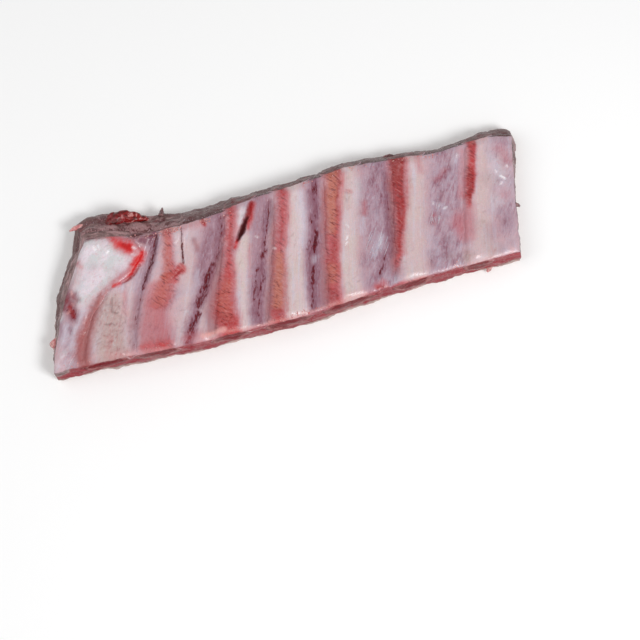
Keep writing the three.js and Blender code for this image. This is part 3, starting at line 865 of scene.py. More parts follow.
        (0.97, 2.6, 1.6, 3, 0, 91, 92, 2, 90.4, 92.4, 5, 90, 93.8, 10, 91, 96.6, 15, 92.6, 98.4, 20, 94.6,
         99.6, 25, 96.4, 101, 31, 97.6, 102.6, RIM, 101, 107),
    ) + lines(
        (0.95, 2, -63.5, 3.2, 4.4, -58.5, 4.6, 4.4, -54.8, 6, 5),
        (0.7, 3.4, -82, -27.6, 3, -74, -28.6, 4, -70, -29.4, 4),
        (0.6, 1.6, -73.5, -9, 1.2, -71, -10.5, 2, -68, -10, 1.2),
        (0.9, 1.4, -38.8, 26.4, 2.2, -38.2, 24, 1.8), (0.8, 1.8, 37, -27.4, 2.4, 41, -28.6, 2),
        (0.75, 1.6, 28, -30, 1.4, 46, -28.8, 2, 66, -28, 1.4), (0.55, 2.2, -104, 21, 2.4, -102.6, 19.6, 2),
        (0.6, 2, -112.4, 1, 1.6, -111.4, -4, 1.4), (0.5, 2, 34, 23.4, 1.8, 36, 22.4, 1.4),
        (0.8, 2, -13, 28.5, 3, -15.6, 22, 3, -17.6, 17.4, 2), (0.85, 2.2, -24.6, 12.6, 2, -26.8, 9, 2.4),
    ),
    "ochre": lines(
        (0.5, 4, -58.4, 25, 4, -60.6, 12, 5, -63, 5, 6, -67, -2, 9, -69.5, -7, 8),
        (0.35, 4, -35.5, -8, 6, -38, -14, 8, -39, -22, 7),
        (0.9, 3, -6.5, 0, 4, -8.6, -8, 5.5, -11, -15, 6, -13, -23, 6),
        (0.9, 3, 29, 33, 6, 27, 26, 6.5, 25, 19, 6, 23, 11, 5, 21.6, 6, 4),
        (0.6, 3, 17, -12, 5, 16, -18, 5),
    ),
    "umber": lines(
        (0.85, 3.6, 62, 32, 8, 60, 24, 7), (0.7, 2.6, 55.5, 25, 2.4, 54, 12, 2.4, 51, -2, 2.4, 49, -12, 2),
        (0.6, 3, 13, -14, 3, 11.4, -22, 3), (0.35, 3, -42, -8, 3, -45.5, -18, 4),
        (0.45, 3, -9.6, 2, 3, -14, -10, 3, -17, -22, 3), (0.5, 2, 96.6, 28, 1.6, 93.4, 18, 1.6),
        (0.45, 2, 74, -21.6, 2, 78, -22.4, 2.6, 82.4, -22, 2),
    ),
    "crimson": lines(
        (0.7, 2.2, -25.4, 17, 2, -27.6, 11, 3, -29.2, 7, 2), (0.5, 4, -43, -21, 4, -38, -27, 5),
        (0.35, 3, -34, 8, 3, -36.5, 0, 3.4), (0.4, 2.8, 0, 26, 3, -2.5, 15, 3.5, -4, 8, 3.4),
        (0.5, 3, -14, -27, 4, -13, -31, 4), (0.75, 1.6, 32, 31, 1.6, 29, 22, 1.6, 27, 14, 1.8),
        (0.5, 2.6, 22.6, 3, 3, 20.6, -4, 3.6, 19, -9, 3), (0.8, 2.8, 14.6, -25, 4.5, 13.8, -32, 5),
        (0.9, 3, 59.6, 20, 7, 58.7, 14, 7.4, 56.6, 6, 5.4),
        (0.9, 2.4, 56, 2, 4.4, 53.2, -6, 3.4, 51, -12, 2),
        (0.9, 2.6, 96, 18, 4, 95, 13, 5, 93.6, 9, 4, 91.8, 5, 2.6),
        (0.9, 2.4, -73, -28.4, 3, -70, -29.4, 2.4), (0.8, 2.4, 41, -28.6, 3, 37, -27.4, 3),
        (0.55, 3, 62, 31, 9, 60, 22, 7), (0.45, 2.6, 98.6, 26, 3, 100.6, 32, 4),
        (0.4, 2, -62, 4, 2, -57, 5.4, 2.4),
    ),
    # White gristle; the small strokes at (-8.6, 4.6), (-48, -15), (-57.4, -16) and (-45.4, -4) are painted
    # highlights.
    "pale": lines(
        (1, 7, -99, 25, 11, -88, 20, 15, -82, 16, 9), (0.95, 8, -92, 12, 13, -103, 8, 13, -107, 2, 7),
        (0.9, 7, -104, 14, 10, -98, 23, 12), (0.9, 2.6, -97, 29.6, 5, -88, 29.4, 4),
        (0.8, 3, -78, 14.5, 4, -74, 17.5, 3), (0.55, 6, -111, -8, 5, -115, -16, 7, -118, -23, 7),
        (0.9, 1.8, -119, -20, 3.4, -121, -22, 3), (0.6, 4, -124, -26, 5, -121, -28, 4),
        (0.8, 1.6, -117, 0, 2, -118, -4, 2.4), (0.7, 1, -8.6, 4.6, 1.8, -7.4, 3.8, 1.8),
        (0.45, 7, 112, 20, 8, 109, 10, 7, 106, 0, 6), (0.75, 2.4, -18.6, 27, 3, -21.4, 20.6, 2.4),
        (0.5, 3.4, 11, 27, 3, 9, 15, 3.4, 6.6, 4, 3), (0.55, 4, 40, 27, 4, 38.4, 18, 4),
        (0.5, 3, 90, 29, 3, 87, 24, 3), (0.6, 1.3, -48, -15, 1.8, -46.8, -16.2, 1.4),
        (0.6, 1.4, -57.4, -16, 2, -55.4, -17, 2), (0.5, 1.6, -45.4, -4, 2, -46.2, -6.4, 1.6),
    ),
    "rust": lines(
        (0.65, 2.6, -89, 5.6, 1.6, -93, 4, 2.6, -97, 1, 4),
        (0.9, 4, -97, 1, 4, -101, -4, 5.4, -105.2, -10, 7, -109, -16, 8),
        (0.95, 4, -109, -16, 8, -111, -22, 8, -111.6, -32, 7.4),
    ),
    "blood": lines(
        (0.8, 4.4, -84.6, 29, 2.6, -80.8, 25.6, 5.4, -77.4, 22.4, 5),
        (1, 3.2, -81.4, 25, 4.4, -77.2, 21.8, 5.2), (0.6, 3, -76, 20, 2.4, -71.6, 18.6, 2.6),
        (1, 2.6, -71.8, 17.8, 3.2, -73.8, 15.4, 5, -76.6, 13, 3.6),
        (0.95, 1.8, -76, 12.8, 2.8, -78.4, 10.4, 2.2, -80.8, 8.4, 1.6),
        (0.75, 1.6, -80.6, 8, 0.8, -84.4, 6.6, 1, -87, 5.7, 2.1, -89, 5.4, 1.5),
        (0.45, 1.4, -13, 28.8, 1, -15.6, 22.6, 1.2, -18.2, 17, 0.8),
        (0.5, 1.6, -25, 12.2, 1.2, -26.4, 9.6, 1.4), (0.4, 2, -73, -28.8, 1.6, -71, -29.2, 1.6),
    ),
    "wound": lines(
        (0.95, 1.6, -13.4, 29.4, 1.8, -15.6, 25.4, 2.8, -18, 21.6, 3, -21, 17.4, 2.6, -24.6, 12.6, 1.2),
        (0.7, 1.4, -38.6, 26.4, 1.4, -38.4, 24.4, 1.2),
        (0.9, 1.1, -73.8, 12.6, 0.8, -77, 9.8, 1.1, -80.8, 7.3, 1, -84.2, 5.8, 0.7),
        (0.4, 2, -79, 23.4, 2, -77, 21.8, 1.6), (0.45, 2.4, -113, 6.4, 2.2, -112.4, 1.6, 3, -111.6, -3, 2),
        (0.8, 1.6, -115, 3.4, 1.6, -115.8, 0.8, 1.4), (0.4, 2, -109.4, 6.4, 2.2, -108, 3.8, 1.8),
        (0.8, 1.4, -122, -29.6, 1, -110, -30.4, 1.4, -96, -30.8, 1),
        (0.7, 1.4, -114.4, 6.6, 1.2, -112.6, 4, 1.6), (0.4, 1.5, -112.8, 0.6, 1.2, -111.4, -3, 1),
        (0.55, 1.3, -109.4, 5.2, 1.1, -108, 3.4, 1), (0.6, 1, -79.6, 24.6, 0.7, -79.2, 24.2, 0.7),
        (0.3, 1, -60.6, 8, 0.5, -61.2, 16, 0.5), (0.5, 1, -59.4, 2.4, 0.7, -57.2, 4.4, 0.7, -55, 5.4, 0.7),
    ),
    "bluish": lines(
        (0.8, 3, -106, -3, 3, -111, -10, 4, -115, -18, 4), (0.7, 2.4, -116.6, -8, 2.4, -119, -15, 3),
        (0.35, 4, -106, 8, 5, -103, 14, 5), (0.6, 3, 12, 28, 3, 9, 12, 3.4, 6.4, 2, 3),
        (0.6, 3, 37.6, 8, 3, 36.4, 2, 3), (0.7, 3, 45, -3, 3, 40, -10, 3), (0.6, 3, 94, 28, 3, 91, 25, 3),
        (0.5, 4, 108, 24, 4, 109, 16, 4), (0.5, 3, -47, 2, 3, -50, -4, 3, -53, -8, 2),
        (0.2, 3, -62, 10, 1.6, -71, 14, 2), (0.4, 3, 75, 7, 3, 79, 3, 4), (0.35, 4, 68, -6, 4, 66, -18, 4),
        (0.6, 2, 10.4, -4.4, 2.4, 9.6, -6.6, 2),
    ),
    "veil": bands(
        (1, 5, 3, 3, -RIM, 30, 47, -26, 32, 47, -8, 37, 49, 8, 40, 52, 22, 43, 55, RIM, 51, 59),
        (0.9, 5, 4, 4, -RIM, 65, 80, -22, 67, 82, -5, 70, 86, 10, 73, 89, 24, 77, 93, RIM, 82, 97),
        (0.45, 6, 8, 8, -20, 101, 112, -6, 103, 116, 14, 107, 119, RIM, 110, 124),
        (0.5, 6, 6, 6, -RIM, -120, -112, -18, -120, -111, -4, -117, -107),
    ),
    "fold": lines(
        (1, 1.6, -98, 32.4, 4, -92, 32, 4, -86, 30.8, 3.6, -80, 29.4, 3.4, -73, 27.8, 3, -66, 27, 2.2),
    ),
    "glints": lines(
        (0.8, 0.9, -94, 27, 0.7, -93.4, 25.2, 1), (0.7, 0.9, -91.8, 26.8, 0.9, -91.4, 25, 0.6),
        (0.9, 0.8, -88.8, 22.2, 1, -87.4, 23.2, 0.6), (0.8, 0.8, -75.4, 21.4, 0.8, -74.4, 20.6, 0.5),
        (0.6, 0.8, -76, 19, 0.6, -77.2, 18.6, 0.5), (0.8, 0.8, 28.4, 1.6, 0.8, 27.2, 0.2, 0.6),
        (0.7, 0.8, 27.6, -1.4, 0.9, 26.6, -2.6, 0.6), (0.5, 0.9, 29.6, 7.4, 0.6, 30.2, 6.2, 0.6),
        (0.6, 0.9, 74.6, 7.4, 0.8, 74, 6.6, 0.6), (0.6, 0.9, 79, 3.6, 0.9, 80.6, 4, 0.6),
        (0.5, 1, 92, 28, 1, 91.4, 27, 0.6), (0.8, 0.8, 115, 17, 0.9, 115.4, 16.4, 0.6),
        (0.6, 0.8, 108.6, 16.4, 0.7, 109.2, 15.2, 0.5), (0.9, 0.8, 110.6, 12.6, 0.9, 112, 11, 0.9),
        (0.7, 0.8, 110.2, 9.6, 0.8, 109.6, 9, 0.6), (0.5, 1, -15.4, 12.4, 0.8, -14.6, 11.6, 0.6),
        (0.4, 0.8, -8.4, 4.6, 0.8, -7.4, 4, 0.8),
    ),
    "dark": lines(
        (0.95, 1.1, -17.2, 22.8, 1, -19.6, 19.4, 2.2, -22, 15.8, 2, -24.2, 12.8, 0.8),
        (0.3, 0.7, -50, 25.5, 0.5, -51.5, 17.5, 0.6, -53.2, 8.4, 0.8),
        (0.75, 1.4, -75.8, 28, 1.4, -72.4, 27.6, 1.6, -69.8, 27, 1),
        (0.5, 1.2, -67, 27.8, 0.9, -64, 25.6, 0.9),
        (0.5, 1, -62.4, 24, 0.7, -66, 16.5, 0.9, -69.6, 10.4, 0.8, -73.5, 4.5, 0.6),
        (0.45, 0.8, -90.8, 0, 0.5, -91.6, -3, 0.5, -92.8, -6.4, 0.6, -91, -7.8, 0.6, -89.6, -7.6, 0.5),
        (0.35, 0.8, -96.8, -12.2, 0.6, -93.4, -12.6, 0.6, -92.6, -13.6, 0.5),
        (0.4, 0.9, 13.4, 6, 0.7, 11.8, 1.4, 0.8), (0.35, 0.9, -42, 0.6, 0.7, -45, -6, 0.7),
    ),
    "pink": lines(
        (0.7, 1, -110.4, 8.4, 0.9, -109.9, 6.6, 0.9), (0.6, 1.2, -114, -2, 1.2, -112.8, -0.8, 1),
        (0.6, 0.8, -110.8, 2.4, 0.6, -110.2, 1.2, 0.6), (0.9, 1.6, -52, -29.6, 2.4, -42, -29, 3),
        (0.5, 1.6, -41, -30.4, 1.2, -20, -31.6, 1, 0, -31, 1, 30, -29, 1),
        (0.35, 1.6, 66, -27.6, 0.8, 106, -26.4, 0.8), (0.3, 2, -90, -29.4, 1.4, -70, -31, 1.4),
        (0.45, 1.6, -58, 27.6, 1.6, -45, 27.8, 1.4), (0.3, 2, 100, 32, 1.4, 108, 33, 1.4),
    ),
}


@dataclass
class BoneSidePaint:
    """Where each colour of the bone side lies."""

    form: RackForm
    wander: float = 0.7
    wander_size: float = 4.0
    mark_seed: int = 23
    mark_zones: tuple[tuple[float, float, float, float, int, float], ...] = (
        (-104, -86, -27, 3, 60, 0.6),
        (-84, -58, -28, 2, 44, 0.5),
        (-118, 118, -27, 29, 170, 0.4),
    )

    def __post_init__(self) -> None:
        """Joins the strewn marks to the painted parts."""
        self.parts = {**PAINT, "flecks": self.marks()}

    def marks(self) -> tuple[Stroke, ...]:
        """Short thin curved marks of small vessels, strewn over the bone side.

        Returns:
            The marks, the same ones each run.
        """
        draw = np.random.default_rng(self.mark_seed)
        found = []
        for left, right, low, high, count, strength in self.mark_zones:
            for _ in range(count):
                x, y = draw.uniform(left, right), draw.uniform(low, high)
                turn = draw.normal(1.2, 0.7)
                bend = draw.uniform(-0.7, 0.7)
                size = draw.uniform(0.4, 1.7)
                mid_x, mid_y = x + size * math.cos(turn), y + size * math.sin(turn)
                tip_x, tip_y = mid_x + size * math.cos(turn + bend), mid_y + size * math.sin(turn + bend)
                width = draw.uniform(0.3, 0.8)
                points = ((x, y, width), (mid_x, mid_y, width), (tip_x, tip_y, 0.5 * width))
                found.append(Stroke(points, strength * draw.uniform(0.4, 1.0), 0.6))
        return tuple(found)

    def masks(self, x: Array, y: Array) -> Masks:
        """Share of every colour at plan positions, with lines that wander a little.

        Args:
            x: Plan x.
            y: Plan y.

        Returns:
            One mask for each name that the finishes read.
        """
        px = x + self.wander * fractal(x, y, self.wander_size, 5)
        py = y + self.wander * fractal(x, y, self.wander_size, 7)
        found: Masks = {}
        for name, parts in self.parts.items():
            total = np.zeros(np.shape(x))
            for part in parts:
                total = np.maximum(total, part.mask(px, py))
            found[name] = total
        inside = self.form.plate_depth(px, py)
        on_plate = fade(-0.6, 0.8, inside)
        for name in ("streak", "cream", "tan", "mauve"):
            found[name] = found[name] * (1.0 - on_plate * fade(2.0, 8.0, y + 4.0))
        found["plate"] = on_plate
        found["edge"] = on_plate * fade(7.0, 0.5, inside)
        return found

    def detail(self, x: Array, y: Array, masks: Masks) -> Array:
        """Fine height of the bone side in millimetres: slits, streaks and wrinkles.

        Args:
            x: Plan x.
            y: Plan y.
            masks: Share of every colour there.

        Returns:
            Heights in millimetres.
        """
        across, length = self.form.fibre_place(x, y)
        fibres = fractal(across, length / 7.0, 1.4, 131, 2)
        hatch = np.sin(length * 3.1 + 0.9 * across + 2.0 * fractal(across, length, 5.0, 151, 2))
        height = 0.10 * fractal(x, y, 6.0, 101, 3) + 0.06 * fractal(x, y, 1.5, 113, 2)
        height += 0.09 * fibres * (0.4 + masks["purple"] + masks["streak"])
        height += 0.05 * hatch * masks["red"]
        height -= 0.3 * masks["streak"] + 1.2 * masks["dark"] + 0.5 * masks["wound"]
        height -= 0.25 * masks["purple"]
        height += 0.2 * masks["pink"] * (0.5 + fractal(x, y, 1.2, 163, 2))
        height += masks["fold"] * (0.4 * fractal(x, 2.0 * y, 4.0, 173, 3) - 0.3)
        height += 0.25 * masks["glints"] - 0.12 * masks["flecks"]
        return height


@dataclass(frozen=True)
class Palette:
    """The named colours of the rack, as eight-bit red, green and blue."""

    lilac: Rgb = (184, 160, 172)
    blush: Rgb = (206, 170, 176)
    cream: Rgb = (212, 190, 192)
    ivory: Rgb = (206, 188, 182)
    haze: Rgb = (202, 194, 208)
    dusk: Rgb = (176, 156, 172)
    dusky: Rgb = (160, 108, 114)
    tan: Rgb = (182, 154, 148)
    mauve: Rgb = (158, 120, 136)
    purple: Rgb = (122, 68, 86)
    plum: Rgb = (92, 26, 42)
    rose: Rgb = (192, 98, 104)
    scarlet: Rgb = (184, 58, 58)
    ochre: Rgb = (186, 112, 88)
    umber: Rgb = (146, 70, 66)
    crimson: Rgb = (150, 30, 34)
    maroon: Rgb = (112, 26, 34)
    white: Rgb = (226, 214, 222)
    frost: Rgb = (206, 206, 208)
    glint: Rgb = (250, 248, 252)
    rust: Rgb = (162, 82, 78)
    blood: Rgb = (206, 10, 12)
    wound: Rgb = (136, 10, 14)
    clot: Rgb = (60, 9, 12)
    fat_pink: Rgb = (226, 166, 162)
    # Grey of the walls that face away from the lamps: painted shade. It also greys cut gristle, fat sides,
    # scraps and the lump.
    wall_grey: Rgb = (126, 102, 100)
    wall_brown: Rgb = (98, 58, 62)
    wall_red: Rgb = (160, 56, 66)
    wall_pale: Rgb = (178, 140, 142)
    fat_cream: Rgb = (216, 188, 178)
    marrow: Rgb = (132, 38, 46)
    bone_cut: Rgb = (174, 104, 104)
    sheen: float = 0.017

    def linear(self, name: str) -> tuple[float, float, float, float]:
        """Scene-linear value of a named colour, less what the wet film's sheen adds to it.

        Args:
            name: The colour's name.

        Returns:
            Red, green, blue and 1.
        """
        parts = []
        for level in getattr(self, name):
            share = level / 255.0
            light = share / 12.92 if share <= 0.04045 else ((share + 0.055) / 1.055) ** 2.4
            parts.append(max(light - self.sheen, 0.0))
        return (parts[0], parts[1], parts[2], 1.0)


class Wire:
    """An output socket that takes part in Python expressions."""

    def __init__(self, graph: "Graph", socket: bpy.types.NodeSocket) -> None:
        """Keeps the tree that the socket belongs to."""
        self.graph = graph
        self.socket = socket

    def _math(self, operation: str, other: "Wire | float", swapped: bool = False) -> "Wire":
        """Result of one Math node on this value and another."""
        first, second = (other, self) if swapped else (self, other)
        return self.graph.math(operation, first, second)

    def __add__(self, other: "Wire | float") -> "Wire":
        """Sum."""
        return self._math("ADD", other)

    def __radd__(self, other: float) -> "Wire":
        """Sum, with the number first."""
        return self._math("ADD", other, True)

    def __sub__(self, other: "Wire | float") -> "Wire":
        """Difference."""
        return self._math("SUBTRACT", other)

    def __rsub__(self, other: float) -> "Wire":
        """Difference, with the number first."""
        return self._math("SUBTRACT", other, True)

    def __mul__(self, other: "Wire | float") -> "Wire":
        """Product."""
        return self._math("MULTIPLY", other)

    def __rmul__(self, other: float) -> "Wire":
        """Product, with the number first."""
        return self._math("MULTIPLY", other, True)


class Graph:
    """Adds nodes to one tree, each through the same method."""

    def __init__(self, tree: bpy.types.NodeTree) -> None:
        """Keeps the tree."""
        self.tree = tree

    def node(self, kind: str, settings: dict | None = None, inputs: dict | None = None) -> bpy.types.Node:
        """Adds a node.

        Args:
            kind: The node's type.
            settings: Its own properties, set first.
            inputs: Values or links of its input sockets, by name, identifier or number.

        Returns:
            The node.
        """
        made = self.tree.nodes.new(kind)
        for name, value in (settings or {}).items():
            setattr(made, name, value)
        for name, value in (inputs or {}).items():
            self._feed(self._pick(made.inputs, name), value)
        return made

    def _pick(self, sockets: bpy.types.bpy_prop_collection, name: str | int) -> bpy.types.NodeSocket:
        """Finds a socket by number, identifier or name.

        Args:
            sockets: Inputs or outputs of a node.
            name: Number, identifier or name.

        Returns:
            The socket.
        """
        if isinstance(name, int):
            return sockets[name]
        for socket in sockets:
            if socket.identifier == name:
                return socket
        return sockets[name]

    def _feed(self, socket: bpy.types.NodeSocket, value: object) -> None:
        """Links a wire to a socket, or sets the socket's own value.

        Args:
            socket: Input of a node.
            value: A wire, or what the socket holds.
        """
        if isinstance(value, Wire):
            self.tree.links.new(value.socket, socket)
        else:
            socket.default_value = value

    def out(self, node: bpy.types.Node, name: str | int = 0) -> Wire:
        """Output of a node as a wire."""
        return Wire(self, self._pick(node.outputs, name))

    def math(self, operation: str, first: Wire | float, second: Wire | float = 0.0) -> Wire:
        """Result of a Math node on one or two numbers."""
        return self.out(self.node("ShaderNodeMath", {"operation": operation}, {0: first, 1: second}))


class Shader(Graph):
    """A material's tree with the few patterns that the rack's finishes share."""

    def __init__(self, material: bpy.types.Material, palette: Palette) -> None:
        """Empties the material's tree and keeps the colours.

        Args:
            material: The material.
            palette: The rack's colours.
        """
        material.use_nodes = True
        super().__init__(material.node_tree)
        self.tree.nodes.clear()
        self.palette = palette

    def attribute(self, name: str, output: str = "Fac") -> Wire:
        """A value that is stored on the mesh."""
        return self.out(self.node("ShaderNodeAttribute", {"attribute_name": name}), output)

    def scaled(self, vector: Wire, by: tuple[float, float, float]) -> Wire:
        """A vector with each part multiplied."""
        return self.out(self.node("ShaderNodeVectorMath", {"operation": "MULTIPLY"}, {0: vector, 1: by}))

    def turned(self, vector: Wire, angle: float) -> Wire:
        """A pattern's place turned in its own plane."""
        inputs = {"Vector": vector, "Angle": angle}
        return self.out(self.node("ShaderNodeVectorRotate", {"rotation_type": "Z_AXIS"}, inputs))

    def noise(self, vector: Wire, scale: float, detail: float = 3.0, warp: float = 0.0) -> Wire:
        """Soft random value around a half."""
        inputs = {"Vector": vector, "Scale": scale, "Detail": detail, "Roughness": 0.55, "Distortion": warp}
        return self.out(self.node("ShaderNodeTexNoise", {}, inputs), "Fac")

    def streaks(self, place: Wire, across: float, length: float, detail: float, warp: float = 0.0) -> Wire:
        """Soft random value, drawn out by its two scales across and along the ribs."""
        return self.noise(self.scaled(place, (across, length, 1.0)), 1.0, detail, warp)

    def step(self, value: Wire, low: float, high: float) -> Wire:
        """Smooth step of a value from 0 at low to 1 at high.

        Args:
            value: The value.
            low: Where the step is 0.
            high: Where it is 1, above low or below it.

        Returns:
            The step.
        """
        inputs = {"Value": value, "From Min": low, "From Max": high}
        settings = {"interpolation_type": "SMOOTHSTEP"}
        return self.out(self.node("ShaderNodeMapRange", settings, inputs), "Result")

    def tint(self, colour: Wire | str) -> Wire | tuple[float, float, float, float]:
        """A colour as it is, or what the palette has under its name."""
        return self.palette.linear(colour) if isinstance(colour, str) else colour

    def mix(self, first: Wire | str, second: Wire | str, share: Wire | float) -> Wire:
        """Colour between two others, each a wire or a name of the palette.

        Args:
            first: Colour at a share of 0.
            second: Colour at a share of 1.
            share: Share of the second.

        Returns:
            The mixed colour.
        """
        inputs = {"Factor_Float": share, "A_Color": self.tint(first), "B_Color": self.tint(second)}
        settings = {"data_type": "RGBA", "clamp_factor": True}
        return self.out(self.node("ShaderNodeMix", settings, inputs), "Result_Color")

    def coats(self, colour: Wire | str, *layers: tuple[Wire | str, Wire | float]) -> Wire:
        """A colour with others laid over it in turn, each by its share.

        Args:
            colour: The lowest colour.
            layers: Every other colour with its share.

        Returns:
            The topmost colour.
        """
        for other, share in layers:
            colour = self.mix(colour, other, share)
        return colour

    def shade(self, colour: Wire, level: Wire) -> Wire:
        """A colour made lighter or darker by a value."""
        inputs = {0: colour, "Scale": level}
        return self.out(self.node("ShaderNodeVectorMath", {"operation": "SCALE"}, inputs))

    def bump(self, height: Wire, distance: float, strength: float) -> Wire:
        """Normal of a surface with fine height on it."""
        inputs = {"Height": height, "Distance": distance, "Strength": strength}
        return self.out(self.node("ShaderNodeBump", {}, inputs), "Normal")


@dataclass(frozen=True)
class Wetness:
    """Constants of a wet surface."""

    roughness: float = 0.36
    spread: float = 0.3
    coat: float = 0.3
    coat_roughness: float = 0.14
    specular: float = 0.36
    soft: float = 0.12
    soft_reach: float = 0.0014
    bump_height: float = 0.0005
    bump_strength: float = 0.6
    soaked_roughness: float = 0.7
    soaked_specular: float = 0.06


class Finish:
    """A wet surface whose colours come from the paint on the mesh."""

    def __init__(self, name: str, palette: Palette, wet: Wetness) -> None:
        """Makes the material and its whole tree.

        Args:
            name: Name of the material.
            palette: The rack's colours.
            wet: How wet the surface is.
        """
        self.material = bpy.data.materials.new(name)
        self.shader = Shader(self.material, palette)
        self.wet = wet
        self.place = self.shader.attribute("grain", "Vector")
        self._surface()

    def colour(self) -> Wire:
        """Colour of the surface."""
        raise NotImplementedError

    def height(self) -> Wire:
        """Fine height of the surface.

        Returns:
            The height, as a number around 1.
        """
        g = self.shader
        fibres = g.noise(g.scaled(self.place, (2.0, 0.3, 2.0)), 1.0, 4.0)
        lumps = g.noise(self.place, 0.42, 5.0)
        return fibres * 0.6 + lumps * 0.9

    def gloss(self) -> Wire:
        """Roughness over the surface."""
        g = self.shader
        return self.wet.roughness + self.wet.spread * (g.noise(self.place, 0.3, 4.0) - 0.5)

    def film(self) -> Wire | float:
        """Weight of the wet film."""
        return self.wet.coat

    def soaked(self) -> Wire | None:
        """Share of the surface that takes up light, such as clotted blood, if it has any."""
        return None

    def _surface(self) -> None:
        """Joins colour, gloss and fine height to the shader."""
        g = self.shader
        inputs = {
            "Base Color": self.colour(),
            "Roughness": self.gloss(),
            "Specular IOR Level": self.wet.specular,
            "Coat Weight": self.film(),
            "Coat Roughness": self.wet.coat_roughness,
            "Subsurface Weight": self.wet.soft,
            "Subsurface Radius": (1.0, 0.35, 0.25),
            "Subsurface Scale": self.wet.soft_reach,
            "Normal": g.bump(self.height(), self.wet.bump_height, self.wet.bump_strength),
        }
        made = g.out(g.node("ShaderNodeBsdfPrincipled", {}, inputs), "BSDF")
        soaked = self.soaked()
        if soaked is not None:
            dull = {"Base Color": inputs["Base Color"], "Normal": inputs["Normal"]}
            dull["Roughness"] = self.wet.soaked_roughness
            dull["Specular IOR Level"] = self.wet.soaked_specular
            matte = g.out(g.node("ShaderNodeBsdfPrincipled", {}, dull), "BSDF")
            made = g.out(g.node("ShaderNodeMixShader", {}, {0: soaked, 1: made, 2: matte}), "Shader")
        g.node("ShaderNodeOutputMaterial", {}, {"Surface": made})


